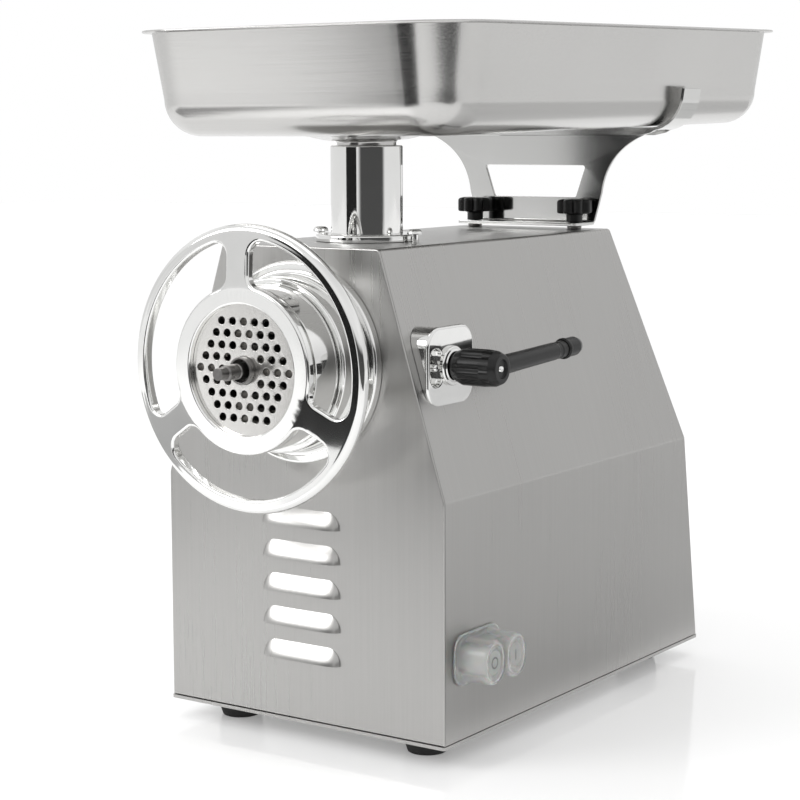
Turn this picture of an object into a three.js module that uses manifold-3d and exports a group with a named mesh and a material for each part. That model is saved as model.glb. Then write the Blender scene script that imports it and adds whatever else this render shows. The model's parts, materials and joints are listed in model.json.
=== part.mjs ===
// Countertop electric meat grinder with a steel housing, a screw-fed grinding head and a feed tray.
// Millimetres, +Z up. The head faces -Y. Sizes are laid out from the middle of the housing's footprint,
// and the finished assembly is moved so that its origin is the bottom centre of its bounding box.
import * as THREE from 'three';
import { mergeVertices } from 'three/addons/utils/BufferGeometryUtils.js';
import Module from 'manifold-3d';

const wasm = await Module();
wasm.setup();

// ---------------------------------------------------------------- driving dimensions
const GAP = 0.3; // clearance between two pieces that touch
const RUNNING_GAP = 0.6; // clearance round a piece that turns

// Housing
const HOUSING_WIDTH = 254;
const HOUSING_DEPTH = 398;
const HOUSING_HEIGHT = 357; // base to flat top
const SHOULDER_HEIGHT = 179; // base to the bend where the sides start to lean in
const TOP_WIDTH = 143;
const REAR_LEAN_AT_SHOULDER = 26;
const REAR_LEAN_AT_TOP = 60;
const SHEET = 1.5;
const BASE_SHEET = 2.5;
const BASE_LIP = 0.8; // how far the base plate stands out past the housing

// Feet
const FOOT_HEIGHT = 15;
const FOOT_RADIUS = 17.5;
const FOOT_INSET_X = 39;
const FOOT_INSET_Y = 36;
const FOOT_TAPER = 3; // how much narrower a foot is where it rests

// Grinding head
const HEAD_AXIS_DROP = 84.7; // the housing's flat top to the head's axis
const PLATE_STANDOFF = 64.4; // front panel to the plate's front face
const PLATE_RADIUS = 50;
const PLATE_THICKNESS = 8;
const PLATE_HOLE_RADIUS = 3;
const PLATE_HOLE_PITCH = 10;
const PLATE_HOLE_RINGS = 4; // rings of the hexagonal pattern
const PLATE_BLANK_RINGS = 1; // rings left solid round the centre
const BARREL_WALL = 7.6;
const BARREL_MOUTH_WALL = 3.6;
const BARREL_LENGTH = 189;
const BARREL_END_WALL = 8;
const BARREL_LEAD = 2; // the plate's front face stands this far ahead of the barrel's mouth
const COLLAR_WALL = 5.8;
const COLLAR_FLANGE_WIDTH = 10.5; // how far the collar's flange stands out past its tube
const COLLAR_THICKNESS = 7.5;
const SOCKET_WALL = 4;
const SOCKET_FLANGE_WIDTH = 8;
const NUT_LIP = 4.3;
const NUT_SKIRT_LENGTH = 32;
const NUT_SKIRT_WALL = 5.7;
const NUT_LIP_OVERLAP = 2.8; // how far the lip covers the plate's edge
const RIM_RADIUS = 103.7; // to the outside of the handwheel rim
const RIM_SECTION = 5.4; // radius of the rim's round section
const RIM_SETBACK = 9.8; // the nut's front face to the middle of the rim
const SPOKE_COUNT = 3;
const SPOKE_WIDTH = 20;
const SPOKE_ANGLE = 93; // degrees from +X of the first spoke
const WEB_THICKNESS = 6;
const SLOT_FILLET = 9;
const AUGER_CLEARANCE = 1.9; // between the flight and the bore
const AUGER_CORE_RADIUS = 18;
const AUGER_TURNS = 3.2;
const AUGER_PIN_RADIUS = 8;
const AUGER_PIN_SETBACK = 4.7; // the plate's front face to the end of the auger's pin
const AUGER_JOINT_SETBACK = 4; // the barrel's rear end to the joint between auger and shaft
const STUD_RADIUS = 5.7;
const STUD_PROJECTION = 29.6; // in front of the plate
const KNIFE_THICKNESS = 12;
const KNIFE_HUB_RADIUS = 16;
const KNIFE_BLADES = 4;
const KNIFE_BLADE_WIDTH = 14;
const KNIFE_BLADE_SWEEP = 4; // how much shorter a blade's trailing edge is
const KNIFE_RELIEF = 2; // the hub's rear face to the blades' rear faces
const BUSH_WALL = 1.7;
const BUSH_PROJECTION = 5;

// Feed tube and its clamp flange
const TUBE_SETBACK = 86.5; // the front panel to the tube's axis
const TUBE_RADIUS = 27.5;
const TUBE_WALL = 4;
const TUBE_RISE = 72.5; // above the housing's flat top
const FLANGE_WIDTH = 11.5; // the tube's outside to the flange's outside
const FLANGE_THICKNESS = 5.4;
const FLANGE_SCREW_RADIUS = 3;
const FLANGE_SCREW_HEAD_RADIUS = 6;
const FLANGE_SCREW_BITE = 1; // how far a screw's head covers the flange's edge
const FLANGE_SCREW_HEAD_HEIGHT = 4;
const STUD_TAIL = 8; // how far screws and studs reach below the housing's top

// Feed tray
const TRAY_WIDTH = 311;
const TRAY_LENGTH = 546;
const TRAY_DEPTH = 80;
const TRAY_SHEET = 2;
const TRAY_CORNER = 46; // plan radius of the upright corners
const TRAY_FLOOR_RADIUS = 26; // radius between walls and floor
const TRAY_DRAFT = 8; // how far each wall leans out over its height
const TRAY_RIM = 9.5; // width of the rim that is turned out
const TRAY_OVERHANG = 111; // tray's front edge ahead of the spout
const TRAY_TILT = 1.1; // degrees, rear raised
const TRAY_HEIGHT = 81; // housing top to the tray's floor at the spout
const SPOUT_CLEARANCE = 1; // between the tray's spout and the inside of the feed tube
const SPOUT_LENGTH = 45;

// Tray bracket
const BRACKET_SHEET = 2.5;
const BRACKET_SET_IN = 0.5; // the housing's rear top edge to the bracket's back face
const BRACKET_FOOT_DEPTH = 34;
const BRACKET_FOOT_LIFT = 3; // gap under the foot, on the studs' shoulders
const BRACKET_KNOB_MARGIN = 9.5; // knob axis to the bracket's edge
const BRACKET_NECK_SPREAD = 6.5; // how far each edge has leaned out where its wing starts
const BRACKET_SPAN = 232; // width under the rail
const BRACKET_FLARE_LENGTH = 52; // height over which the wings curve out
const WINDOW_BOTTOM_WIDTH = 81;
const WINDOW_TOP_WIDTH = 100;
const WINDOW_HEIGHT = 27;
const WINDOW_BELOW = 23; // strip under the window
const RAIL_WIDTH = 30;
const RAIL_LIP = 4;
const RAIL_HOOK = 8; // straight height of the hooks at the rail's ends
const RAIL_STANDOFF = 6; // the tray's wall to the inside of a hook

// Star knobs and their studs
const KNOB_SPACING = 99;
const KNOB_SETBACK = 17.5; // bracket plate to knob axis
const KNOB_RADIUS = 15;
const KNOB_LOBES = 8;
const KNOB_GROOVE_RADIUS = 3;
const KNOB_HEAD_HEIGHT = 12;
const KNOB_NECK_RADIUS = 6.8;
const KNOB_NECK_HEIGHT = 7.5;
const KNOB_STUD_RADIUS = 3;
const KNOB_STUD_SHOULDER = 6;

// Head lock on the right side
const LOCK_SETBACK = 39.5; // the front panel to the lock's axis
const PAD_WIDTH = 60;
const PAD_HEIGHT = 58;
const PAD_CORNER = 15;
const PAD_TOE = 0.5; // thickness left at the pad's lower edge
const PAD_POCKET_WIDTH = 15;
const PAD_POCKET_HEIGHT = 27;
const PAD_POCKET_DEPTH = 5;
const LATCH_PIN_RADIUS = 2.6;
const LATCH_PIN_PROJECTION = 2;
const BOSS_RADIUS = 14.5;
const BOSS_PROJECTION = 4;
const LOCK_SCREW_RADIUS = 6;
const LOCK_SCREW_GRIP = 12; // how far the screw reaches into the hub
const HUB_RADIUS = 13.6;
const HUB_LENGTH = 39;
const HUB_FLUTES = 8;
const HUB_FLUTE_RADIUS = 2.2;
const ROD_RADIUS = 6.6;
const ROD_ROOT_RADIUS = 7.4;
const ROD_REACH = 101; // hub axis to the start of the end cap
const ROD_RISE = 2.6; // degrees
const ROD_FROM_HUB_END = 10.5;
const CAP_RADIUS = 8;
const CAP_LENGTH = 23;

// Switch on the right side
const SWITCH_SETBACK = 42; // the front panel to the middle of the switch
const SWITCH_HEIGHT = 62; // base to the middle of the switch
const LOBE_RADIUS = 13.7;
const LOBE_STRETCH = 2.6; // straight height added between a lobe's round ends
const LOBE_SPACING = 28.6;
const BOOT_DEPTH = 27;
const BOOT_WALL = 1.6;
const BOOT_FLANGE = 1.8;
const BOOT_FLANGE_WIDTH = 3;
const BOOT_WAIST_DROP = 2; // how much lower the part between the lobes is
const BUTTON_RADIUS = 9.5;
const BUTTON_TRAVEL = 3;
const SWITCH_BODY_DEPTH = 30;
const SWITCH_BODY_HEIGHT = 28;

// Front louvers and rear slots
const LOUVER_COUNT = 5;
const LOUVER_PITCH = 25.4;
const LOUVER_WIDTH = 71;
const LOUVER_HEIGHT = 13;
const LOUVER_PROJECTION = 6;
const LOUVER_SHEET = 1.2;
const LOUVER_LIP = 4.5; // upright height of a louver's front edge
const LOUVER_LOWEST = 48; // base to the lowest louver's bottom edge
const REAR_SLOT_COUNT = 5;
const REAR_SLOT_WIDTH = 90;
const REAR_SLOT_HEIGHT = 6;
const REAR_SLOT_PITCH = 15;

// Gear train
const OUTPUT_TEETH = 34;
const IDLER_PINION_TEETH = 12;
const OUTPUT_MODULE = 4;
const IDLER_TEETH = 35;
const MOTOR_PINION_TEETH = 13;
const INPUT_MODULE = 3;
const OUTPUT_GEAR_WIDTH = 18;
const INPUT_GEAR_WIDTH = 14;
const GEAR_STAGE_GAP = 6;
const GEARBOX_WALL = 6;
const GEAR_CASE_CLEARANCE = 4;
const OUTPUT_SHAFT_RADIUS = 15;
const IDLER_SHAFT_RADIUS = 10;
const MOTOR_SHAFT_RADIUS = 9;
const BEARING_THICKNESS = 9;
const BEARING_WALL = 10;
const PRESSURE_ANGLE = 20;
const TALL_ADDENDUM = 0.9; // of a pinion, in modules
const SHORT_ADDENDUM = 0.8; // of a large gear, in modules
const DEDENDUM = 1.3;
const BACKLASH = 0.14; // radians taken off each tooth, shared over the teeth

// Motor
const MOTOR_RADIUS = 68;
const MOTOR_SHELL_WALL = 3;
const MOTOR_BELL_DEPTH = 16;
const MOTOR_SHELL_LENGTH = 108;
const STATOR_LENGTH = 84;
const ROTOR_RADIUS = 40;
const AIR_GAP = 0.8;
const FAN_RADIUS = 52;
const FAN_BLADES = 7;
const FAN_WIDTH = 12;
const FAN_SHEET = 2;
const FAN_HUB_WALL = 6;
const MOTOR_SHAFT_TAIL = 16; // how far the shaft stands out behind the motor
const FRAME_HALF_WIDTH = 55;
const FRAME_THICKNESS = 6;
const STAND_DROP = 20; // the motor's axis to the top of the gearbox stand
const SADDLE_DROP = 30; // the motor's axis to the top of each motor saddle
const SADDLE_WIDTH = 14;
const SADDLE_INSET = 20; // each end of the motor shell to its saddle

// Electrical parts
const CAPACITOR_RADIUS = 18;
const CAPACITOR_LENGTH = 80;
const CAPACITOR_INSET = 12; // the housing's outside to the capacitor
const TERMINAL_WIDTH = 40;
const TERMINAL_DEPTH = 24;
const TERMINAL_HEIGHT = 20;
const TERMINAL_INSET = 19; // the housing's outside to the terminal block
const GLAND_RADIUS = 8;
const GLAND_WALL = 4;
const GLAND_HEAD_LENGTH = 13;
const GLAND_TAIL_LENGTH = 14; // inside the rear cover
const GLAND_HEIGHT = 40; // base to the gland's axis
const GLAND_OFFSET = 70; // to the left of the middle

// ---------------------------------------------------------------- derived places
const BASE_Z = FOOT_HEIGHT;
const SHOULDER_Z = BASE_Z + SHOULDER_HEIGHT;
const TOP_Z = BASE_Z + HOUSING_HEIGHT;
const FRONT_Y = -HOUSING_DEPTH / 2;
const REAR_Y = HOUSING_DEPTH / 2;
const REAR_TOP_Y = REAR_Y - REAR_LEAN_AT_TOP;
const AXIS_Z = TOP_Z - HEAD_AXIS_DROP;
const PLATE_Y = FRONT_Y - PLATE_STANDOFF;
const NUT_FRONT_Y = PLATE_Y - NUT_LIP;
const BORE_RADIUS = PLATE_RADIUS + GAP;
const BARREL_RADIUS = BORE_RADIUS + BARREL_WALL;
const MOUTH_RADIUS = BORE_RADIUS + BARREL_MOUTH_WALL;
const BARREL_FRONT_Y = PLATE_Y + BARREL_LEAD;
const BARREL_REAR_Y = BARREL_FRONT_Y + BARREL_LENGTH;
const SKIRT_REAR_Y = NUT_FRONT_Y + NUT_LIP + NUT_SKIRT_LENGTH;
const NUT_BORE = MOUTH_RADIUS + GAP;
const NUT_RADIUS = NUT_BORE + NUT_SKIRT_WALL;
const KNIFE_FRONT_Y = PLATE_Y + PLATE_THICKNESS + GAP;
const AUGER_FRONT_Y = KNIFE_FRONT_Y + KNIFE_THICKNESS + GAP;
const AUGER_REAR_Y = BARREL_REAR_Y - BARREL_END_WALL - GAP;
const TUBE_Y = FRONT_Y + TUBE_SETBACK;
const LOCK_Y = FRONT_Y + LOCK_SETBACK;
const GEARBOX_FRONT_Y = BARREL_REAR_Y + GAP;
const OUTPUT_GEAR_Y = GEARBOX_FRONT_Y + GEARBOX_WALL + GEAR_STAGE_GAP / 2;
const INPUT_GEAR_Y = OUTPUT_GEAR_Y + OUTPUT_GEAR_WIDTH + GEAR_STAGE_GAP;
const GEARBOX_REAR_Y = INPUT_GEAR_Y + INPUT_GEAR_WIDTH + GEAR_STAGE_GAP / 2 + GEARBOX_WALL;
const OUTPUT_CENTRES = (OUTPUT_MODULE * (OUTPUT_TEETH + IDLER_PINION_TEETH)) / 2;
const INPUT_CENTRES = (INPUT_MODULE * (IDLER_TEETH + MOTOR_PINION_TEETH)) / 2;
const IDLER_Z = AXIS_Z - OUTPUT_CENTRES;
const MOTOR_Z = IDLER_Z - INPUT_CENTRES;
const MOTOR_FRONT_Y = GEARBOX_REAR_Y + GAP;
const MOTOR_SHELL_Y = MOTOR_FRONT_Y + MOTOR_BELL_DEPTH + GAP;
const MOTOR_REAR_BELL_Y = MOTOR_SHELL_Y + MOTOR_SHELL_LENGTH + GAP;
const MOTOR_REAR_Y = MOTOR_REAR_BELL_Y + MOTOR_BELL_DEPTH;
const FLOOR_Z = BASE_Z + BASE_SHEET;
const AUGER_JOINT_Y = BARREL_REAR_Y - AUGER_JOINT_SETBACK;
const AUGER_PIN_Y = PLATE_Y + AUGER_PIN_SETBACK;
const COLLAR_BORE = BARREL_RADIUS + GAP;
const COLLAR_TUBE_RADIUS = COLLAR_BORE + COLLAR_WALL;
const COLLAR_RADIUS = COLLAR_TUBE_RADIUS + COLLAR_FLANGE_WIDTH;
const FLANGE_RADIUS = TUBE_RADIUS + FLANGE_WIDTH;
const FLANGE_SCREW_X = FLANGE_RADIUS + FLANGE_SCREW_HEAD_RADIUS - FLANGE_SCREW_BITE;
const SPOUT_RADIUS = TUBE_RADIUS - TUBE_WALL - SPOUT_CLEARANCE;
const SIDE_X = HOUSING_WIDTH / 2;
const SWITCH_Y = FRONT_Y + SWITCH_SETBACK;
const SWITCH_Z = BASE_Z + SWITCH_HEIGHT;
const BRACKET_Y = REAR_TOP_Y - BRACKET_SET_IN; // back face of the bracket's plate
const KNOB_Y = BRACKET_Y - BRACKET_SHEET - KNOB_SETBACK;
const FOOT_Z = TOP_Z + BRACKET_FOOT_LIFT;
const BRACKET_WAIST = KNOB_SPACING + 2 * BRACKET_KNOB_MARGIN;
const RAIL_Y = BRACKET_Y - BRACKET_SHEET / 2;
const RAIL_BED_RISE = (RAIL_Y - RAIL_WIDTH / 2 - TUBE_Y) * Math.tan((TRAY_TILT * Math.PI) / 180);
const RAIL_BED_Z = TOP_Z + TRAY_HEIGHT + RAIL_BED_RISE - 2 * GAP;
const RAIL_UNDER_Z = RAIL_BED_Z - BRACKET_SHEET;
const BRACKET_TOP_Z = RAIL_UNDER_Z - GAP;

const SEGMENTS = 24; // round pieces
const FINE_SEGMENTS = 24; // round pieces of the grinding head
const SMALL_SEGMENTS = 12; // pins, screws and holes
const GROOVE_SEGMENTS = 6; // small grooves and drilled holes
const RIM_STEPS = 5; // steps round the handwheel rim's section
const BEND_STEPS = 6; // steps round a bend in the rail
const TRAY_STEPS = 3; // steps round a corner of the tray
const CUT_MARGIN = 5; // how far a cutter runs past the face that it opens
const RAD = Math.PI / 180;

// ---------------------------------------------------------------- solids from three.js geometry
function solid(geometry) {
  const bare = geometry.clone();
  bare.deleteAttribute('normal');
  bare.deleteAttribute('uv');
  const merged = mergeVertices(bare, 1e-4);
  const position = merged.attributes.position.array;
  const corner = (i) => new THREE.Vector3().fromArray(position, 3 * i);
  const triangles = [];
  let volume = 0;
  for (let i = 0; i < merged.index.count; i += 3) {
    const [a, b, c] = [0, 1, 2].map((k) => merged.index.array[i + k]);
    if (a === b || b === c || a === c) continue;
    triangles.push([a, b, c]);
    volume += corner(a).dot(corner(b).cross(corner(c)));
  }
  const outward = volume > 0 ? triangles : triangles.map(([a, b, c]) => [a, c, b]);
  const mesh = new wasm.Mesh({
    numProp: 3,
    vertProperties: Float32Array.from(position),
    triVerts: Uint32Array.from(outward.flat()),
  });
  return new wasm.Manifold(mesh);
}

function geometryOf(body) {
  const mesh = body.getMesh();
  const geometry = new THREE.BufferGeometry();
  geometry.setAttribute('position', new THREE.BufferAttribute(Float32Array.from(mesh.vertProperties), 3));
  geometry.setIndex(new THREE.BufferAttribute(Uint32Array.from(mesh.triVerts), 1));
  geometry.computeVertexNormals();
  return geometry;
}

const joined = (...bodies) => bodies.reduce((whole, body) => whole.add(body));
const cut = (body, ...cutters) => cutters.reduce((rest, cutter) => rest.subtract(cutter), body);

function box(x0, x1, y0, y1, z0, z1) {
  const geometry = new THREE.BoxGeometry(x1 - x0, y1 - y0, z1 - z0);
  return solid(geometry.translate((x0 + x1) / 2, (y0 + y1) / 2, (z0 + z1) / 2));
}

// Solids of revolution. Profiles are lists of [radius, distance along the axis].
function lathe(profile, segments) {
  const points = profile.map(([radius, along]) => new THREE.Vector2(radius, along));
  return new THREE.LatheGeometry([...points, points[0]], segments);
}
const alongY = (profile, x, z, segments = SEGMENTS) => solid(lathe(profile, segments).translate(x, 0, z));
const alongZ = (profile, x, y, segments = SEGMENTS) =>
  solid(lathe(profile, segments).rotateX(Math.PI / 2).translate(x, y, 0));
const alongX = (profile, y, z, segments = SEGMENTS) =>
  solid(lathe(profile, segments).rotateZ(-Math.PI / 2).translate(0, y, z));

const rod = (radius, from, to) => [[0, from], [radius, from], [radius, to], [0, to]];
const ring = (inner, outer, from, to) => [[inner, from], [outer, from], [outer, to], [inner, to]];
function chamferedRod(radius, from, to, chamfer) {
  return [
    [0, from], [radius - chamfer, from], [radius, from + chamfer],
    [radius, to - chamfer], [radius - chamfer, to], [0, to],
  ];
}

// Prisms from a flat outline: upright along Z, or along Y and X with the outline seen from the front or side.
function prism(shape, length, curveSegments = 6) {
  return new THREE.ExtrudeGeometry(shape, { depth: length, bevelEnabled: false, curveSegments });
}
const prismZ = (shape, z0, z1, curveSegments) =>
  solid(prism(shape, z1 - z0, curveSegments).translate(0, 0, z0));
const prismY = (shape, y0, y1, curveSegments) =>
  solid(prism(shape, y1 - y0, curveSegments).rotateX(Math.PI / 2).translate(0, y1, 0));
const prismX = (shape, x0, x1, curveSegments) =>
  solid(prism(shape, x1 - x0, curveSegments).rotateX(Math.PI / 2).rotateZ(Math.PI / 2).translate(x0, 0, 0));

function polygon(points) {
  return new THREE.Shape(points.map(([u, v]) => new THREE.Vector2(u, v)));
}

// A round outline with a set number of corners, which line up with those of a lathed piece.
function circle(u, v, radius, count) {
  const points = [];
  for (let i = 0; i < count; i++) {
    const angle = (2 * Math.PI * i) / count;
    points.push(new THREE.Vector2(u + radius * Math.cos(angle), v + radius * Math.sin(angle)));
  }
  return points;
}

function roundedRectangle(width, height, radius, u = 0, v = 0) {
  const [a, b] = [width / 2, height / 2];
  const shape = new THREE.Shape();
  shape.absarc(u + a - radius, v - b + radius, radius, -Math.PI / 2, 0, false);
  shape.absarc(u + a - radius, v + b - radius, radius, 0, Math.PI / 2, false);
  shape.absarc(u - a + radius, v + b - radius, radius, Math.PI / 2, Math.PI, false);
  shape.absarc(u - a + radius, v - b + radius, radius, Math.PI, 1.5 * Math.PI, false);
  shape.closePath();
  return shape;
}

// Outline of a belt round two circles, one above the other.
function beltOutline(lowV, lowRadius, highV, highRadius) {
  const lean = Math.asin((highRadius - lowRadius) / (highV - lowV));
  const shape = new THREE.Shape();
  shape.absarc(0, highV, highRadius, -lean, Math.PI + lean, false);
  shape.absarc(0, lowV, lowRadius, Math.PI + lean, 2 * Math.PI - lean, false);
  shape.closePath();
  return shape;
}

// ---------------------------------------------------------------- materials
function finish(color, roughness, metalness) {
  return () => new THREE.MeshStandardMaterial({ color, roughness, metalness });
}
const brushedSteel = finish(0xb9b8b4, 0.38, 1);
const polishedSteel = finish(0xd8d8d8, 0.12, 1);
const satinSteel = finish(0xc9c8c4, 0.28, 1);
const darkSteel = finish(0x5a5754, 0.35, 1);
const castIron = finish(0x4c4f52, 0.7, 0.6);
const castAluminium = finish(0x9da0a3, 0.55, 0.9);
const gearSteel = finish(0x8b8c8e, 0.35, 1);
const brass = finish(0xb08d57, 0.35, 1);
const copper = finish(0x9c5a3c, 0.5, 0.8);
const blackPlastic = finish(0x17171a, 0.45, 0);
const blackRubber = finish(0x1b1b1b, 0.85, 0);
const clearSilicone = finish(0xe6e6e2, 0.35, 0);
const whitePlastic = finish(0xdfe0de, 0.4, 0);
const greyPlastic = finish(0x8d9094, 0.5, 0);

const assembly = new THREE.Group();
function piece(name, body, material, parent = assembly) {
  const mesh = new THREE.Mesh(geometryOf(body), material());
  mesh.name = name;
  parent.add(mesh);
  return mesh;
}

// ---------------------------------------------------------------- housing
// Half-width of the housing's outside at a height, and the depth of its rear face there.
function halfWidthAt(z) {
  const lean = (HOUSING_WIDTH - TOP_WIDTH) / 2 / (TOP_Z - SHOULDER_Z);
  return HOUSING_WIDTH / 2 - Math.max(0, z - SHOULDER_Z) * lean;
}
function rearAt(z) {
  if (z <= SHOULDER_Z) return REAR_Y - (REAR_LEAN_AT_SHOULDER * (z - BASE_Z)) / SHOULDER_HEIGHT;
  const upper = (z - SHOULDER_Z) / (TOP_Z - SHOULDER_Z);
  return REAR_Y - REAR_LEAN_AT_SHOULDER - (REAR_LEAN_AT_TOP - REAR_LEAN_AT_SHOULDER) * upper;
}

// Outline of the housing seen from the front, set in by a distance, down to a level.
function houseOutline(inset, bottom) {
  const slope = Math.atan2((HOUSING_WIDTH - TOP_WIDTH) / 2, TOP_Z - SHOULDER_Z);
  const a = HOUSING_WIDTH / 2 - inset;
  const shoulder = SHOULDER_Z - inset * Math.tan(slope / 2);
  const top = TOP_Z - inset;
  const b = TOP_WIDTH / 2 - inset * (1 / Math.cos(slope) - Math.tan(slope));
  return [[-a, bottom], [a, bottom], [a, shoulder], [b, top], [-b, top], [-a, shoulder]];
}

// Everything behind the housing's rear face, set forward by a distance.
function behindRear(inset) {
  const far = REAR_Y + HOUSING_DEPTH;
  const levels = [BASE_Z - HOUSING_HEIGHT, SHOULDER_Z, TOP_Z + HOUSING_HEIGHT];
  const slopeAt = (z) => rearAt(z) - inset;
  const low = slopeAt(BASE_Z) + (REAR_LEAN_AT_SHOULDER * HOUSING_HEIGHT) / SHOULDER_HEIGHT;
  const lean = (REAR_LEAN_AT_TOP - REAR_LEAN_AT_SHOULDER) / (TOP_Z - SHOULDER_Z);
  const high = slopeAt(TOP_Z) - lean * HOUSING_HEIGHT;
  const outline = polygon([
    [far, levels[0]], [far, levels[2]], [high, levels[2]], [slopeAt(SHOULDER_Z), levels[1]], [low, levels[0]],
  ]);
  return prismX(outline, -HOUSING_WIDTH, HOUSING_WIDTH);
}

// Upright hole through the housing's flat top.
const topHole = (radius, x, y, segments = SMALL_SEGMENTS) =>
  alongZ(rod(radius + GAP, TOP_Z - SHEET - CUT_MARGIN, TOP_Z + CUT_MARGIN), x, y, segments);
const lockBore = () =>
  alongX(rod(LOCK_SCREW_RADIUS + RUNNING_GAP, 0, HOUSING_WIDTH), LOCK_Y, AXIS_Z, SMALL_SEGMENTS);

// Opening in the side for both buttons.
function switchOpening() {
  const [y, z] = [LOBE_SPACING / 2 + BUTTON_RADIUS + 1, BUTTON_RADIUS + 1];
  const [x0, x1] = [SIDE_X - CUT_MARGIN, SIDE_X + CUT_MARGIN];
  return box(x0, x1, SWITCH_Y - y, SWITCH_Y + y, SWITCH_Z - z, SWITCH_Z + z);
}

function housingShell() {
  const front = FRONT_Y + SHEET + GAP;
  const bottom = FLOOR_Z + GAP;
  const outer = prismY(polygon(houseOutline(0, bottom)), front, REAR_Y);
  const inner = prismY(polygon(houseOutline(SHEET, bottom - BASE_SHEET)), front - SHEET, REAR_Y + SHEET);
  return cut(
    outer,
    inner,
    behindRear(SHEET + GAP),
    topHole(TUBE_RADIUS, 0, TUBE_Y, SEGMENTS),
    ...[-1, 1].map((side) => topHole(KNOB_STUD_RADIUS, (side * KNOB_SPACING) / 2, KNOB_Y)),
    ...[-1, 1].map((side) => topHole(FLANGE_SCREW_RADIUS, side * FLANGE_SCREW_X, TUBE_Y)),
    lockBore(),
    switchOpening(),
  );
}

// A pressed louver: a hood whose mouth faces down, open to the inside through its cut in the sheet.
function louverHood(z) {
  const top = z + LOUVER_HEIGHT;
  const face = FRONT_Y - LOUVER_PROJECTION;
  const root = FRONT_Y + SHEET / 2;
  const outline = [[root, z], [face, z], [face, z + LOUVER_LIP], [root, top]];
  return prismX(polygon(outline), -LOUVER_WIDTH / 2, LOUVER_WIDTH / 2);
}
function louverHollow(z) {
  const wall = LOUVER_SHEET;
  const top = z + LOUVER_HEIGHT - 2 * wall;
  const face = FRONT_Y - LOUVER_PROJECTION + wall;
  const inside = FRONT_Y + 2 * SHEET;
  const outline = [
    [inside, z - wall], [face, z - wall], [face, z + LOUVER_LIP - wall / 2],
    [FRONT_Y + SHEET, top], [inside, top],
  ];
  return prismX(polygon(outline), -LOUVER_WIDTH / 2 + wall, LOUVER_WIDTH / 2 - wall);
}

function frontPanel() {
  const bottom = FLOOR_Z + GAP;
  let panel = prismY(polygon(houseOutline(0, bottom)), FRONT_Y, FRONT_Y + SHEET);
  const bore = rod(COLLAR_BORE, FRONT_Y - CUT_MARGIN, FRONT_Y + CUT_MARGIN);
  panel = cut(panel, alongY(bore, 0, AXIS_Z, FINE_SEGMENTS));
  for (let i = 0; i < LOUVER_COUNT; i++) {
    const z = BASE_Z + LOUVER_LOWEST + i * LOUVER_PITCH;
    panel = cut(panel.add(louverHood(z)), louverHollow(z));
  }
  return panel;
}

function rearCover() {
  const bottom = FLOOR_Z + GAP;
  const block = prismY(polygon(houseOutline(SHEET + GAP, bottom)), 0, REAR_Y);
  let cover = cut(block, behindRear(0));
  cover = cover.intersect(behindRear(SHEET));
  for (let i = 0; i < REAR_SLOT_COUNT; i++) {
    const z = MOTOR_Z + (i - (REAR_SLOT_COUNT - 1) / 2) * REAR_SLOT_PITCH;
    cover = cut(cover, box(-REAR_SLOT_WIDTH / 2, REAR_SLOT_WIDTH / 2, 0, REAR_Y + CUT_MARGIN,
      z - REAR_SLOT_HEIGHT / 2, z + REAR_SLOT_HEIGHT / 2));
  }
  const glandHole = rod(GLAND_RADIUS + GAP, 0, REAR_Y + CUT_MARGIN);
  return cut(cover, alongY(glandHole, -GLAND_OFFSET, BASE_Z + GLAND_HEIGHT, SMALL_SEGMENTS));
}

function basePlate() {
  const outline = roundedRectangle(HOUSING_WIDTH + 2 * BASE_LIP, HOUSING_DEPTH + 2 * BASE_LIP, 2);
  return prismZ(outline, BASE_Z, FLOOR_Z, 2);
}

function foot() {
  const top = FOOT_HEIGHT - GAP;
  const rest = FOOT_RADIUS - FOOT_TAPER;
  return alongZ([[0, 0], [rest, 0], [rest + 1.5, 1.5], [FOOT_RADIUS, top], [0, top]], 0, 0, SEGMENTS);
}

piece('housing_shell', housingShell(), brushedSteel);
piece('front_panel', frontPanel(), brushedSteel);
piece('rear_cover', rearCover(), brushedSteel);
piece('base_plate', basePlate(), brushedSteel);
for (const [side, x] of [['left', -1], ['right', 1]]) {
  for (const [end, y] of [['front', -1], ['rear', 1]]) {
    const mesh = piece(`foot_${end}_${side}`, foot(), blackRubber);
    mesh.position.set(x * (HOUSING_WIDTH / 2 - FOOT_INSET_X), y * (HOUSING_DEPTH / 2 - FOOT_INSET_Y), 0);
  }
}

// ---------------------------------------------------------------- grinding head
const feedBore = (radius) => alongZ(rod(radius, AXIS_Z, TOP_Z + TUBE_RISE), 0, TUBE_Y, SEGMENTS);

function headCollar() {
  const front = SKIRT_REAR_Y + 1;
  const back = FRONT_Y - GAP;
  const flange = back - COLLAR_THICKNESS;
  const tube = COLLAR_TUBE_RADIUS;
  return alongY([
    [COLLAR_BORE, back], [COLLAR_BORE, front], [tube - 1.5, front], [tube, front + 1.5], [tube, flange - 3],
    [tube + 3, flange], [COLLAR_RADIUS - 2, flange], [COLLAR_RADIUS, flange + 2], [COLLAR_RADIUS, back],
  ], 0, AXIS_Z, FINE_SEGMENTS);
}

// Tube that the barrel slides into, cast in one with the gearbox cover.
function headSocket() {
  const outer = COLLAR_BORE + SOCKET_WALL;
  const flange = outer + SOCKET_FLANGE_WIDTH;
  const front = FRONT_Y + SHEET + GAP;
  const step = front + SOCKET_WALL;
  const back = GEARBOX_FRONT_Y + 1;
  const tube = alongY([
    [COLLAR_BORE, back], [COLLAR_BORE, front], [flange, front], [flange, step], [outer, step], [outer, back],
  ], 0, AXIS_Z, FINE_SEGMENTS);
  return cut(tube, feedBore(TUBE_RADIUS + GAP), lockBore());
}

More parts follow.
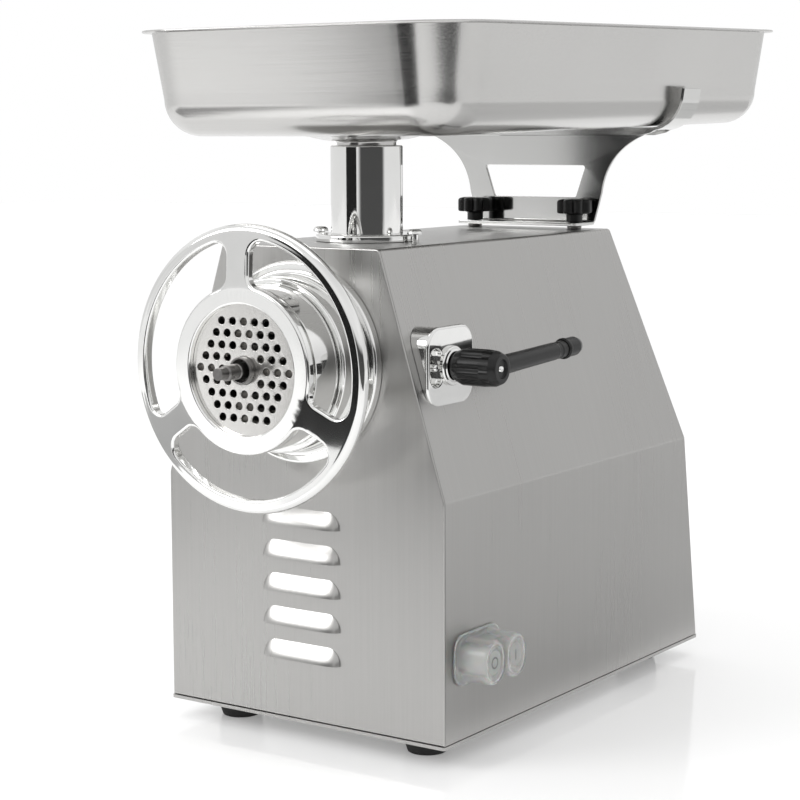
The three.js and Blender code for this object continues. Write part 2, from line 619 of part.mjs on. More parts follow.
function barrel() {
  const step = SKIRT_REAR_Y + 0.5;
  const shaftBore = OUTPUT_SHAFT_RADIUS + RUNNING_GAP;
  const endWall = AUGER_REAR_Y + GAP;
  const body = alongY([
    [shaftBore, BARREL_REAR_Y], [shaftBore, endWall], [BORE_RADIUS, endWall],
    [BORE_RADIUS, BARREL_FRONT_Y], [MOUTH_RADIUS, BARREL_FRONT_Y],
    [MOUTH_RADIUS, step], [BARREL_RADIUS, step], [BARREL_RADIUS, BARREL_REAR_Y],
  ], 0, AXIS_Z, FINE_SEGMENTS);
  const dimpleRod = rod(LOCK_SCREW_RADIUS + 1, BARREL_RADIUS - 3, BARREL_RADIUS + CUT_MARGIN);
  const dimple = alongX(dimpleRod, LOCK_Y, AXIS_Z, SMALL_SEGMENTS);
  return cut(body, feedBore(TUBE_RADIUS + GAP), dimple);
}

// A screw made by turning one cross-section as it moves along the axis.
function twisted(radiusAt, y0, y1, turns, around, steps) {
  const positions = [];
  const index = [];
  for (let j = 0; j <= steps; j++) {
    const turn = (2 * Math.PI * turns * j) / steps;
    const y = y0 + ((y1 - y0) * j) / steps;
    for (let i = 0; i < around; i++) {
      const angle = (2 * Math.PI * i) / around;
      const radius = radiusAt(angle);
      positions.push(radius * Math.cos(angle + turn), y, radius * Math.sin(angle + turn));
    }
  }
  const at = (i, j) => j * around + (i % around);
  for (let j = 0; j < steps; j++) {
    for (let i = 0; i < around; i++) {
      index.push(at(i, j), at(i, j + 1), at(i + 1, j), at(i + 1, j), at(i, j + 1), at(i + 1, j + 1));
    }
  }
  const ends = positions.length / 3;
  positions.push(0, y0, 0, 0, y1, 0);
  for (let i = 0; i < around; i++) {
    index.push(ends, at(i, 0), at(i + 1, 0), ends + 1, at(i + 1, steps), at(i, steps));
  }
  const geometry = new THREE.BufferGeometry();
  geometry.setAttribute('position', new THREE.Float32BufferAttribute(positions, 3));
  geometry.setIndex(index);
  return solid(geometry.translate(0, 0, AXIS_Z));
}

function auger() {
  const flight = BORE_RADIUS - AUGER_CLEARANCE;
  const rise = flight - AUGER_CORE_RADIUS;
  const section = (angle) => AUGER_CORE_RADIUS + rise * Math.pow(0.5 + 0.5 * Math.cos(angle), 3);
  const screw = twisted(section, AUGER_FRONT_Y, AUGER_REAR_Y, AUGER_TURNS, SMALL_SEGMENTS, SEGMENTS);
  const pin = rod(AUGER_PIN_RADIUS, AUGER_PIN_Y, AUGER_FRONT_Y + CUT_MARGIN);
  const journal = rod(OUTPUT_SHAFT_RADIUS, AUGER_REAR_Y - CUT_MARGIN, AUGER_JOINT_Y);
  return joined(
    screw,
    alongY(pin, 0, AXIS_Z, SMALL_SEGMENTS),
    alongY(journal, 0, AXIS_Z, SMALL_SEGMENTS),
  );
}

function augerStud() {
  const profile = chamferedRod(STUD_RADIUS, PLATE_Y - STUD_PROJECTION, AUGER_PIN_Y - GAP, 1);
  return alongY(profile, 0, AXIS_Z, SMALL_SEGMENTS);
}

function knife() {
  const reach = BORE_RADIUS - 2 * AUGER_CLEARANCE;
  const back = KNIFE_FRONT_Y + KNIFE_THICKNESS;
  const [left, right] = [-KNIFE_BLADE_WIDTH / 2, KNIFE_BLADE_WIDTH / 2];
  const blade = polygon([[left, 0], [right, 0], [right, reach - 1], [left, reach - KNIFE_BLADE_SWEEP]]);
  let body = alongY(rod(KNIFE_HUB_RADIUS, KNIFE_FRONT_Y, back), 0, AXIS_Z, SMALL_SEGMENTS);
  for (let i = 0; i < KNIFE_BLADES; i++) {
    const geometry = prism(blade, KNIFE_THICKNESS - KNIFE_RELIEF).rotateX(Math.PI / 2);
    geometry.rotateY((2 * Math.PI * i) / KNIFE_BLADES).translate(0, back - KNIFE_RELIEF, AXIS_Z);
    body = body.add(solid(geometry));
  }
  const bore = rod(AUGER_PIN_RADIUS + GAP, KNIFE_FRONT_Y - CUT_MARGIN, back + CUT_MARGIN);
  return cut(body, alongY(bore, 0, AXIS_Z, SMALL_SEGMENTS));
}

function grindingPlate() {
  const outline = new THREE.Shape(circle(0, AXIS_Z, PLATE_RADIUS, FINE_SEGMENTS));
  const bushRadius = AUGER_PIN_RADIUS + GAP + BUSH_WALL;
  outline.holes.push(new THREE.Path(circle(0, AXIS_Z, bushRadius + GAP, SMALL_SEGMENTS)));
  const n = PLATE_HOLE_RINGS;
  for (let row = -n; row <= n; row++) {
    for (let column = -n; column <= n; column++) {
      const rings = Math.max(Math.abs(row), Math.abs(column), Math.abs(row + column));
      if (rings > n || rings <= PLATE_BLANK_RINGS) continue;
      const u = PLATE_HOLE_PITCH * (column + row / 2);
      const v = AXIS_Z + (PLATE_HOLE_PITCH * row * Math.sqrt(3)) / 2;
      outline.holes.push(new THREE.Path(circle(u, v, PLATE_HOLE_RADIUS, GROOVE_SEGMENTS)));
    }
  }
  return prismY(outline, PLATE_Y, PLATE_Y + PLATE_THICKNESS);
}

function plateBush() {
  const inner = AUGER_PIN_RADIUS + GAP;
  const profile = ring(inner, inner + BUSH_WALL, PLATE_Y - BUSH_PROJECTION, PLATE_Y + PLATE_THICKNESS);
  return alongY(profile, 0, AXIS_Z, SMALL_SEGMENTS);
}

// Outline of one hand slot: a sector of a ring between two spokes, with rounded corners.
function handSlot(inner, outer, middle) {
  const half = Math.PI / SPOKE_COUNT;
  const point = (radius, angle) => [radius * Math.cos(angle), AXIS_Z + radius * Math.sin(angle)];
  const edge = (radius) => half - Math.asin((SPOKE_WIDTH / 2 + SLOT_FILLET) / radius);
  const [low, high] = [inner + SLOT_FILLET, outer - SLOT_FILLET];
  const shape = new THREE.Shape();
  const corner = (radius, side, from, to) => {
    const [u, v] = point(radius, middle + side * edge(radius));
    shape.absarc(u, v, SLOT_FILLET, from, to, false);
  };
  const along = (side) => middle + side * half; // direction of a spoke
  corner(high, -1, along(-1) - Math.PI / 2, middle - edge(high));
  shape.absarc(0, AXIS_Z, outer, middle - edge(high), middle + edge(high), false);
  corner(high, 1, middle + edge(high), along(1) + Math.PI / 2);
  corner(low, 1, along(1) + Math.PI / 2, middle + edge(low) + Math.PI);
  shape.absarc(0, AXIS_Z, inner, middle + edge(low), middle - edge(low), true);
  corner(low, -1, middle - edge(low) + Math.PI, along(-1) + 1.5 * Math.PI);
  shape.closePath();
  return shape;
}

function ringNut() {
  const rimR = RIM_RADIUS - RIM_SECTION;
  const rimY = NUT_FRONT_Y + RIM_SETBACK;
  const rim = [];
  for (let i = 0; i <= RIM_STEPS; i++) {
    const angle = (-125 + (250 * i) / RIM_STEPS) * RAD;
    rim.push([rimR + RIM_SECTION * Math.cos(angle), rimY + RIM_SECTION * Math.sin(angle)]);
  }
  const lipInner = PLATE_RADIUS - NUT_LIP_OVERLAP;
  const lipBack = PLATE_Y - GAP;
  const body = alongY([
    [lipInner, lipBack], [lipInner, NUT_FRONT_Y + 1.2], [lipInner + 1.2, NUT_FRONT_Y],
    [NUT_RADIUS - 1.5, NUT_FRONT_Y], [NUT_RADIUS + 2, NUT_FRONT_Y + 1.2], ...rim,
    [NUT_RADIUS + 2, NUT_FRONT_Y + 1.2 + WEB_THICKNESS], [NUT_RADIUS, NUT_FRONT_Y + 4 + WEB_THICKNESS],
    [NUT_RADIUS, SKIRT_REAR_Y], [NUT_BORE, SKIRT_REAR_Y], [NUT_BORE, lipBack],
  ], 0, AXIS_Z, FINE_SEGMENTS);
  const slots = [];
  for (let i = 0; i < SPOKE_COUNT; i++) {
    const middle = SPOKE_ANGLE * RAD + ((2 * i + 1) * Math.PI) / SPOKE_COUNT;
    const outline = handSlot(NUT_RADIUS + 0.6, rimR - RIM_SECTION + 0.4, middle);
    slots.push(prismY(outline, NUT_FRONT_Y - CUT_MARGIN, rimY + 2 * RIM_SECTION, 4));
  }
  return cut(body, ...slots);
}

piece('head_collar', headCollar(), polishedSteel);
piece('barrel', barrel(), polishedSteel);
piece('auger', auger(), satinSteel);
piece('auger_stud', augerStud(), darkSteel);
piece('cutter_knife', knife(), satinSteel);
piece('grinding_plate', grindingPlate(), satinSteel);
piece('plate_bush', plateBush(), darkSteel);
piece('ring_nut', ringNut(), polishedSteel);

// ---------------------------------------------------------------- feed tube, flange and its screws
function feedTube() {
  const top = TOP_Z + TUBE_RISE;
  const inner = TUBE_RADIUS - TUBE_WALL;
  const tube = alongZ([
    [inner, AXIS_Z], [TUBE_RADIUS, AXIS_Z], [TUBE_RADIUS, top - 1], [TUBE_RADIUS - 1, top], [inner, top],
  ], 0, TUBE_Y);
  const across = rod(BORE_RADIUS, TUBE_Y - 2 * TUBE_RADIUS, TUBE_Y + 2 * TUBE_RADIUS);
  return cut(tube, alongY(across, 0, AXIS_Z, FINE_SEGMENTS));
}

function tubeFlange() {
  const bottom = TOP_Z + GAP;
  const top = bottom + FLANGE_THICKNESS;
  const disc = alongZ([
    [0, bottom], [FLANGE_RADIUS, bottom], [FLANGE_RADIUS, top - 1], [FLANGE_RADIUS - 1, top], [0, top],
  ], 0, TUBE_Y);
  return cut(disc, feedBore(TUBE_RADIUS + GAP));
}

function flangeScrew() {
  const seat = TOP_Z + GAP + FLANGE_THICKNESS + GAP;
  const tip = TOP_Z - STUD_TAIL;
  const [head, top] = [FLANGE_SCREW_HEAD_RADIUS, seat + FLANGE_SCREW_HEAD_HEIGHT];
  return alongZ([
    [0, tip], [FLANGE_SCREW_RADIUS, tip], [FLANGE_SCREW_RADIUS, seat], [head, seat],
    [head, (seat + top) / 2], [head / 2, top], [0, top],
  ], 0, 0, SMALL_SEGMENTS);
}

piece('feed_tube', feedTube(), polishedSteel);
piece('tube_flange', tubeFlange(), polishedSteel);
for (const [side, x] of [['left', -1], ['right', 1]]) {
  piece(`flange_screw_${side}`, flangeScrew(), darkSteel).position.set(x * FLANGE_SCREW_X, TUBE_Y, 0);
}

// ---------------------------------------------------------------- feed tray
// The tray is laid out level with its floor at z = 0 and its spout at the origin, then tilted in place.
// One closed outline of the tray in plan: a rounded rectangle, set in from the tray's top edge.
function trayLoop(inset, z) {
  const a = TRAY_WIDTH / 2 - TRAY_RIM - inset;
  const front = -TRAY_OVERHANG + TRAY_RIM + inset;
  const back = -TRAY_OVERHANG + TRAY_LENGTH - TRAY_RIM - inset;
  const radius = Math.max(TRAY_CORNER - inset, 4);
  const points = [];
  const corners = [[a - radius, back - radius], [radius - a, back - radius], [radius - a, front + radius],
    [a - radius, front + radius]];
  corners.forEach(([x, y], quarter) => {
    for (let i = 0; i <= TRAY_STEPS; i++) {
      const angle = (quarter + i / TRAY_STEPS) * (Math.PI / 2);
      points.push([x + radius * Math.cos(angle), y + radius * Math.sin(angle), z]);
    }
  });
  return points;
}

// A solid skinned over a stack of outlines, from the first to the last, with flat ends.
function skinned(loops) {
  const n = loops[0].length;
  const index = [];
  loops.slice(1).forEach((_, j) => {
    for (let i = 0; i < n; i++) {
      const k = (i + 1) % n;
      index.push(j * n + i, j * n + k, (j + 1) * n + i, j * n + k, (j + 1) * n + k, (j + 1) * n + i);
    }
  });
  const last = (loops.length - 1) * n;
  for (let i = 1; i < n - 1; i++) index.push(0, i + 1, i, last, last + i, last + i + 1);
  const geometry = new THREE.BufferGeometry();
  geometry.setAttribute('position', new THREE.Float32BufferAttribute(loops.flat(2), 3));
  geometry.setIndex(index);
  return solid(geometry);
}

// Loops from the floor to the top, offset outwards by a distance.
function trayLoops(grow, floor, top) {
  const loops = [];
  const radius = TRAY_FLOOR_RADIUS + grow;
  for (let i = 0; i <= TRAY_STEPS; i++) {
    const angle = (i / TRAY_STEPS) * (Math.PI / 2);
    const inset = TRAY_DRAFT - grow + radius * (1 - Math.sin(angle));
    loops.push(trayLoop(inset, floor + radius * (1 - Math.cos(angle))));
  }
  return [...loops, trayLoop(-grow, top)];
}

function feedTray() {
  const outside = skinned(trayLoops(TRAY_SHEET, 0, TRAY_DEPTH));
  const rim = skinned([trayLoop(-TRAY_RIM, TRAY_DEPTH - TRAY_SHEET), trayLoop(-TRAY_RIM, TRAY_DEPTH)]);
  const inside = skinned(trayLoops(0, TRAY_SHEET, TRAY_DEPTH + CUT_MARGIN));
  const spout = alongZ(rod(SPOUT_RADIUS, -SPOUT_LENGTH, TRAY_SHEET), 0, 0);
  const boreRod = rod(SPOUT_RADIUS - TRAY_SHEET, -SPOUT_LENGTH - CUT_MARGIN, TRAY_SHEET + CUT_MARGIN);
  const bore = alongZ(boreRod, 0, 0);
  return cut(joined(outside, rim), inside).add(spout).subtract(bore);
}

const tray = piece('feed_tray', feedTray(), satinSteel);
tray.position.set(0, TUBE_Y, TOP_Z + TRAY_HEIGHT);
tray.rotation.x = TRAY_TILT * RAD;

// ---------------------------------------------------------------- tray bracket, rail, studs and knobs
// Plate seen from the front: a waist, wings that curve out to the rail, and a window.
function bracketOutline() {
  const shape = new THREE.Shape();
  const [waist, span] = [BRACKET_WAIST / 2, BRACKET_SPAN / 2];
  const neck = waist + BRACKET_NECK_SPREAD;
  const flare = BRACKET_TOP_Z - BRACKET_FLARE_LENGTH;
  const knee = BRACKET_TOP_Z - BRACKET_FLARE_LENGTH / 4;
  shape.moveTo(-waist, FOOT_Z);
  shape.lineTo(waist, FOOT_Z);
  shape.lineTo(neck, flare);
  shape.quadraticCurveTo(neck + 5, knee, span, BRACKET_TOP_Z);
  shape.lineTo(-span, BRACKET_TOP_Z);
  shape.quadraticCurveTo(-neck - 5, knee, -neck, flare);
  shape.closePath();
  const [low, high] = [FOOT_Z + WINDOW_BELOW, FOOT_Z + WINDOW_BELOW + WINDOW_HEIGHT];
  shape.holes.push(polygon([
    [-WINDOW_BOTTOM_WIDTH / 2, low], [-WINDOW_TOP_WIDTH / 2, high],
    [WINDOW_TOP_WIDTH / 2, high], [WINDOW_BOTTOM_WIDTH / 2, low],
  ]));
  return shape;
}

function trayBracket() {
  const plate = prismY(bracketOutline(), BRACKET_Y - BRACKET_SHEET, BRACKET_Y, 8);
  const footFront = BRACKET_Y - BRACKET_FOOT_DEPTH;
  const halfWaist = BRACKET_WAIST / 2;
  const bar = box(-halfWaist, halfWaist, footFront, BRACKET_Y, FOOT_Z, FOOT_Z + BRACKET_SHEET);
  const bore = rod(KNOB_STUD_RADIUS + GAP, FOOT_Z - CUT_MARGIN, FOOT_Z + CUT_MARGIN);
  const hole = (x) => alongZ(bore, x, KNOB_Y, SMALL_SEGMENTS);
  return cut(plate.add(bar), hole(-KNOB_SPACING / 2), hole(KNOB_SPACING / 2));
}

// Channel under the tray, with ends that curve up round the tray's floor radius into hooks.
function trayRail() {
  const wallX = TRAY_WIDTH / 2 - TRAY_RIM - TRAY_DRAFT + TRAY_SHEET + RAIL_STANDOFF;
  const bend = TRAY_FLOOR_RADIUS + TRAY_SHEET;
  const lean = Math.atan2(TRAY_DRAFT, TRAY_DEPTH - bend);
  const strip = (side, reach) => {
    const points = [];
    for (let i = 0; i <= BEND_STEPS; i++) {
      const angle = (i / BEND_STEPS) * (Math.PI / 2 - lean);
      const [out, down] = [(bend + reach) * Math.sin(angle), (bend + reach) * Math.cos(angle)];
      points.push([side * (wallX - bend + out), RAIL_BED_Z + bend - down]);
    }
    const [x, z] = points[BEND_STEPS];
    points.push([x + side * RAIL_HOOK * Math.sin(lean), z + RAIL_HOOK * Math.cos(lean)]);
    return points;
  };
  const outline = [...strip(-1, 0).reverse(), ...strip(1, 0), ...strip(1, BRACKET_SHEET).reverse(),
    ...strip(-1, BRACKET_SHEET)];
  const [y0, y1] = [RAIL_Y - RAIL_WIDTH / 2, RAIL_Y + RAIL_WIDTH / 2];
  const band = prismY(polygon(outline), y0, y1);
  const flat = wallX - bend;
  const [low, high] = [RAIL_UNDER_Z - RAIL_LIP, RAIL_UNDER_Z + BRACKET_SHEET / 2];
  const lip = (from, to) => box(-flat, flat, from, to, low, high);
  return joined(band, lip(y0, y0 + BRACKET_SHEET), lip(y1 - BRACKET_SHEET, y1));
}

function bracketStud() {
  const [tip, seat, shoulder] = [TOP_Z - STUD_TAIL, TOP_Z + GAP, FOOT_Z - GAP];
  const end = FOOT_Z + BRACKET_SHEET + KNOB_NECK_HEIGHT;
  return alongZ([
    [0, tip], [KNOB_STUD_RADIUS, tip], [KNOB_STUD_RADIUS, seat], [KNOB_STUD_SHOULDER, seat],
    [KNOB_STUD_SHOULDER, shoulder], [KNOB_STUD_RADIUS, shoulder], [KNOB_STUD_RADIUS, end], [0, end],
  ], 0, 0, SMALL_SEGMENTS);
}

// Star knob with grooves round its head, and a blind bore for the stud.
function starKnob() {
  const seat = FOOT_Z + BRACKET_SHEET + GAP;
  const head = seat + KNOB_NECK_HEIGHT;
  const top = head + KNOB_HEAD_HEIGHT;
  let body = joined(
    alongZ(rod(KNOB_NECK_RADIUS, seat, head + 1), 0, 0, SMALL_SEGMENTS),
    alongZ(chamferedRod(KNOB_RADIUS, head, top, 1.2), 0, 0, SEGMENTS),
  );
  for (let i = 0; i < KNOB_LOBES; i++) {
    const angle = ((i + 0.5) * 2 * Math.PI) / KNOB_LOBES;
    const [x, y] = [KNOB_RADIUS * Math.cos(angle), KNOB_RADIUS * Math.sin(angle)];
    body = cut(body, alongZ(rod(KNOB_GROOVE_RADIUS, head - 1, top + 1), x, y, GROOVE_SEGMENTS));
  }
  const bore = rod(KNOB_STUD_RADIUS + RUNNING_GAP, seat - CUT_MARGIN, head + 1);
  return cut(body, alongZ(bore, 0, 0, SMALL_SEGMENTS));
}

piece('tray_bracket', trayBracket(), brushedSteel);
piece('tray_rail', trayRail(), brushedSteel);
for (const [side, x] of [['left', -1], ['right', 1]]) {
  piece(`bracket_stud_${side}`, bracketStud(), darkSteel).position.set((x * KNOB_SPACING) / 2, KNOB_Y, 0);
  piece(`star_knob_${side}`, starKnob(), blackPlastic).position.set((x * KNOB_SPACING) / 2, KNOB_Y, 0);
}

// ---------------------------------------------------------------- head lock on the right side
const PAD_FACE = halfWidthAt(AXIS_Z - PAD_HEIGHT / 2) + PAD_TOE; // the middle plane to the pad's upright face
const POCKET_FLOOR = PAD_FACE - PAD_POCKET_DEPTH;
const POCKET_Y = LOCK_Y - BOSS_RADIUS - PAD_POCKET_WIDTH / 2 + 3; // the boss covers the pocket's edge
const HUB_X = PAD_FACE + BOSS_PROJECTION + RUNNING_GAP;
const HUB_END_X = HUB_X + HUB_LENGTH;

const housingSpace = () => prismY(polygon(houseOutline(-GAP, BASE_Z)), FRONT_Y - CUT_MARGIN, REAR_Y);

// Slab that lies on the leaning side and has an upright face.
function lockPad() {
  const outline = roundedRectangle(PAD_WIDTH, PAD_HEIGHT, PAD_CORNER, LOCK_Y, AXIS_Z);
  const block = prismX(outline, 0, PAD_FACE, 5);
  const [halfWidth, halfHeight] = [PAD_POCKET_WIDTH / 2, PAD_POCKET_HEIGHT / 2];
  const pocket = box(POCKET_FLOOR, PAD_FACE + CUT_MARGIN, POCKET_Y - halfWidth, POCKET_Y + halfWidth,
    AXIS_Z - halfHeight, AXIS_Z + halfHeight);
  const seat = rod(BOSS_RADIUS + GAP, POCKET_FLOOR, PAD_FACE + CUT_MARGIN);
  return cut(block, housingSpace(), pocket, alongX(seat, LOCK_Y, AXIS_Z), lockBore());
}

function latchPin() {
  const profile = chamferedRod(LATCH_PIN_RADIUS, POCKET_FLOOR + GAP, PAD_FACE + LATCH_PIN_PROJECTION, 0.8);
  return cut(alongX(profile, POCKET_Y - 2, AXIS_Z, SMALL_SEGMENTS), housingSpace());
}

function lockBoss() {
  const back = POCKET_FLOOR + GAP;
  const face = PAD_FACE + BOSS_PROJECTION;
  const bore = LOCK_SCREW_RADIUS + RUNNING_GAP;
  const sleeve = alongX([
    [bore, back], [BOSS_RADIUS, back], [BOSS_RADIUS, face - 2], [BOSS_RADIUS - 2, face], [bore, face],
  ], LOCK_Y, AXIS_Z);
  return cut(sleeve, housingSpace());
}

function lockScrew() {
  const profile = chamferedRod(LOCK_SCREW_RADIUS, BARREL_RADIUS - 1, HUB_X + LOCK_SCREW_GRIP, 1);
  return alongX(profile, LOCK_Y, AXIS_Z, SMALL_SEGMENTS);
}

// The handle's rod and cap run backwards from the hub, rising a little.
function onRod(profile) {
  const geometry = lathe(profile, SMALL_SEGMENTS).rotateX(ROD_RISE * RAD);
  return solid(geometry.translate(HUB_END_X - ROD_FROM_HUB_END, LOCK_Y, AXIS_Z));
}
const taperedRod = (grow) =>
  onRod([[0, -grow], [ROD_ROOT_RADIUS + grow, -grow], [ROD_RADIUS + grow, ROD_REACH], [0, ROD_REACH]]);

function lockHub() {
  const recess = HUB_RADIUS / 2;
  let body = alongX([
    [0, HUB_X], [HUB_RADIUS - 3, HUB_X], [HUB_RADIUS, HUB_X + 5], [HUB_RADIUS, HUB_END_X - 4],
    [HUB_RADIUS - 3, HUB_END_X], [recess, HUB_END_X], [recess, HUB_END_X - 3], [0, HUB_END_X - 3],
  ], LOCK_Y, AXIS_Z);
  const flute = rod(HUB_FLUTE_RADIUS, HUB_X + 4, HUB_END_X - ROD_FROM_HUB_END - ROD_ROOT_RADIUS - 2);
  for (let i = 0; i < HUB_FLUTES; i++) {
    const angle = ((i + 0.5) * 2 * Math.PI) / HUB_FLUTES;
    const [y, z] = [LOCK_Y + HUB_RADIUS * Math.cos(angle), AXIS_Z + HUB_RADIUS * Math.sin(angle)];
    body = cut(body, alongX(flute, y, z, GROOVE_SEGMENTS));
  }
  const bore = rod(LOCK_SCREW_RADIUS + GAP, HUB_X - CUT_MARGIN, HUB_X + LOCK_SCREW_GRIP + GAP);
  return cut(body, alongX(bore, LOCK_Y, AXIS_Z, SMALL_SEGMENTS), taperedRod(GAP));
}

function handleCap() {
  const from = ROD_REACH + GAP;
  return onRod([
    [0, from], [CAP_RADIUS, from], [CAP_RADIUS, from + 4], [CAP_RADIUS - 0.8, from + 4.5],
    [CAP_RADIUS - 0.8, from + CAP_LENGTH - 3], [CAP_RADIUS - 3, from + CAP_LENGTH], [0, from + CAP_LENGTH],
  ]);
}

piece('lock_pad', lockPad(), polishedSteel);
piece('latch_pin', latchPin(), polishedSteel);
piece('lock_boss', lockBoss(), polishedSteel);
piece('lock_screw', lockScrew(), darkSteel);
piece('lock_hub', lockHub(), blackPlastic);
piece('handle_rod', taperedRod(0), blackPlastic);
piece('handle_cap', handleCap(), blackPlastic);

// ---------------------------------------------------------------- switch
const LOBE_SIDES = [['start', 1], ['stop', -1]];

function lobeOutline(side, inset) {
  const radius = LOBE_RADIUS - inset;
  const [y, h] = [SWITCH_Y + (side * LOBE_SPACING) / 2, LOBE_STRETCH];
  const shape = new THREE.Shape();
  shape.absarc(y, SWITCH_Z + h, radius, 0, Math.PI, false);
  shape.absarc(y, SWITCH_Z - h, radius, Math.PI, 2 * Math.PI, false);
  shape.closePath();
  return shape;
}

// Soft cover over both buttons, open towards the housing. A waist joins its two round lobes.
function switchBoot() {
  const [back, face] = [SIDE_X + GAP, SIDE_X + BOOT_DEPTH];
  const neck = face - LOBE_RADIUS / 2;
  const waist = (from, to, wall) => {
    const [y, z] = [LOBE_SPACING / 2, LOBE_RADIUS + LOBE_STRETCH - BOOT_WAIST_DROP - wall];
    return box(from, to, SWITCH_Y - y, SWITCH_Y + y, SWITCH_Z - z, SWITCH_Z + z);
  };
  const lobe = (side, wall, from, to) => prismX(lobeOutline(side, wall), from, to, 6);
  const width = LOBE_SPACING + 2 * (LOBE_RADIUS + BOOT_FLANGE_WIDTH);
  const height = 2 * (LOBE_RADIUS + LOBE_STRETCH + BOOT_FLANGE_WIDTH);
  const flange = prismX(roundedRectangle(width, height, 8, SWITCH_Y, SWITCH_Z), back, back + BOOT_FLANGE, 4);
  const lobes = LOBE_SIDES.map(([, side]) => lobe(side, 0, back, face));
  const hollows = LOBE_SIDES.map(([, side]) => lobe(side, BOOT_WALL, back - CUT_MARGIN, face - BOOT_WALL));
  const body = joined(flange, waist(back, neck, 0), ...lobes);
  return cut(body, waist(back - CUT_MARGIN, neck - BOOT_WALL, BOOT_WALL), ...hollows);
}

function pushButton(side) {
  const y = SWITCH_Y + (side * LOBE_SPACING) / 2;
  const face = SIDE_X + BOOT_DEPTH - BOOT_WALL - GAP;
  const back = SIDE_X - SHEET;
  return alongX(chamferedRod(BUTTON_RADIUS, back, face, 1.5), y, SWITCH_Z);
}

function switchBody() {
  const [halfWidth, halfHeight] = [LOBE_SPACING / 2 + BUTTON_RADIUS, SWITCH_BODY_HEIGHT / 2];
  const face = SIDE_X - SHEET - BUTTON_TRAVEL - 1;
  return box(face - SWITCH_BODY_DEPTH, face, SWITCH_Y - halfWidth, SWITCH_Y + halfWidth,
    SWITCH_Z - halfHeight, SWITCH_Z + halfHeight);
}

piece('switch_boot', switchBoot(), clearSilicone);
piece('start_button', pushButton(1), whitePlastic);
piece('stop_button', pushButton(-1), whitePlastic);
piece('switch_body', switchBody(), blackPlastic);

// ---------------------------------------------------------------- gear train
// Spur gear outline with involute flanks. The first tooth points along +Z, turned by an angle.
function gearOutline(teeth, module, addendum, turn) {
  const pitch = (module * teeth) / 2;
  const base = pitch * Math.cos(PRESSURE_ANGLE * RAD);
  const tip = pitch + addendum * module;
  const root = pitch - DEDENDUM * module;
  const involute = (radius) => {
    const t = Math.sqrt(Math.max(0, (radius / base) ** 2 - 1));
    return t - Math.atan(t);
  };
  const half = (radius) => (Math.PI / 2 - BACKLASH) / teeth + involute(pitch) - involute(radius);
  const radii = [root, Math.max(base, pitch - module / 2), tip];
  const points = [];
  for (let i = 0; i < teeth; i++) {
    const centre = Math.PI / 2 + turn + (2 * Math.PI * i) / teeth;
    const corner = (r, angle) => points.push([r * Math.cos(angle), r * Math.sin(angle)]);
    radii.forEach((r) => corner(r, centre - half(r)));
    radii.toReversed().forEach((r) => corner(r, centre + half(r)));
  }
  return polygon(points);
}

function gear(teeth, module, addendum, turn, z, y0, width, bore = 0) {
  const shape = gearOutline(teeth, module, addendum, turn);
  if (bore > 0) {
    shape.holes.push(new THREE.Path(circle(0, 0, bore, SMALL_SEGMENTS)));
  }
  return solid(prism(shape, width, 6).rotateX(Math.PI / 2).translate(0, y0 + width, z));
}

// A gear above and a pinion below it, in mesh on the line between their centres: the upper gear has a
// gap at its bottom when the lower one has a tooth at its top.
const bottomTurn = (teeth) => Math.PI - (Math.round(teeth / 2) - 0.5) * ((2 * Math.PI) / teeth);

const shaft = (radius, z, from, to) => alongY(chamferedRod(radius, from, to, 1), 0, z, SMALL_SEGMENTS);
const bearing = (radius, z, from) =>
  alongY(
    ring(radius + RUNNING_GAP, radius + BEARING_WALL, from, from + BEARING_THICKNESS),
    0, z, SMALL_SEGMENTS,
  );
const bearingBore = (radius, z) => [radius + BEARING_WALL + GAP, z];
const caseHighRadius = (OUTPUT_MODULE * OUTPUT_TEETH) / 2 + OUTPUT_MODULE + GEAR_CASE_CLEARANCE;
const caseLowRadius = (INPUT_MODULE * (IDLER_TEETH - 1)) / 2;
const gearboxOutline = (inset) => beltOutline(MOTOR_Z, caseLowRadius - inset, AXIS_Z, caseHighRadius - inset);

// One half of the gearbox, open towards the other half, with anything that is cast on to it.
function gearboxHalf(y0, y1, openBack, bores, castOn = []) {
  const wall = GEARBOX_WALL;
  const solidCase = joined(prismY(gearboxOutline(-wall), y0, y1), ...castOn);
  const hollow = openBack ? [y0 + wall, y1 + wall] : [y0 - wall, y1 - wall];
  const cavity = prismY(gearboxOutline(0), hollow[0], hollow[1]);
  const holes = bores.map(([radius, z]) => alongY(rod(radius, y0 - wall, y1 + wall), 0, z, SMALL_SEGMENTS));
  return cut(solidCase, cavity, ...holes);
}

const splitY = OUTPUT_GEAR_Y + OUTPUT_GEAR_WIDTH + GEAR_STAGE_GAP / 2;
const outputBore = bearingBore(OUTPUT_SHAFT_RADIUS, AXIS_Z);
const idlerBore = bearingBore(IDLER_SHAFT_RADIUS, IDLER_Z);
const motorBore = bearingBore(MOTOR_SHAFT_RADIUS, MOTOR_Z);
const coverHalf = gearboxHalf(GEARBOX_FRONT_Y, splitY, true, [outputBore, idlerBore], [headSocket()]);
piece('gearbox_cover', coverHalf, castAluminium);
const caseHalf = gearboxHalf(splitY + GAP, GEARBOX_REAR_Y, false, [outputBore, idlerBore, motorBore]);
piece('gearbox_case', caseHalf, castAluminium);

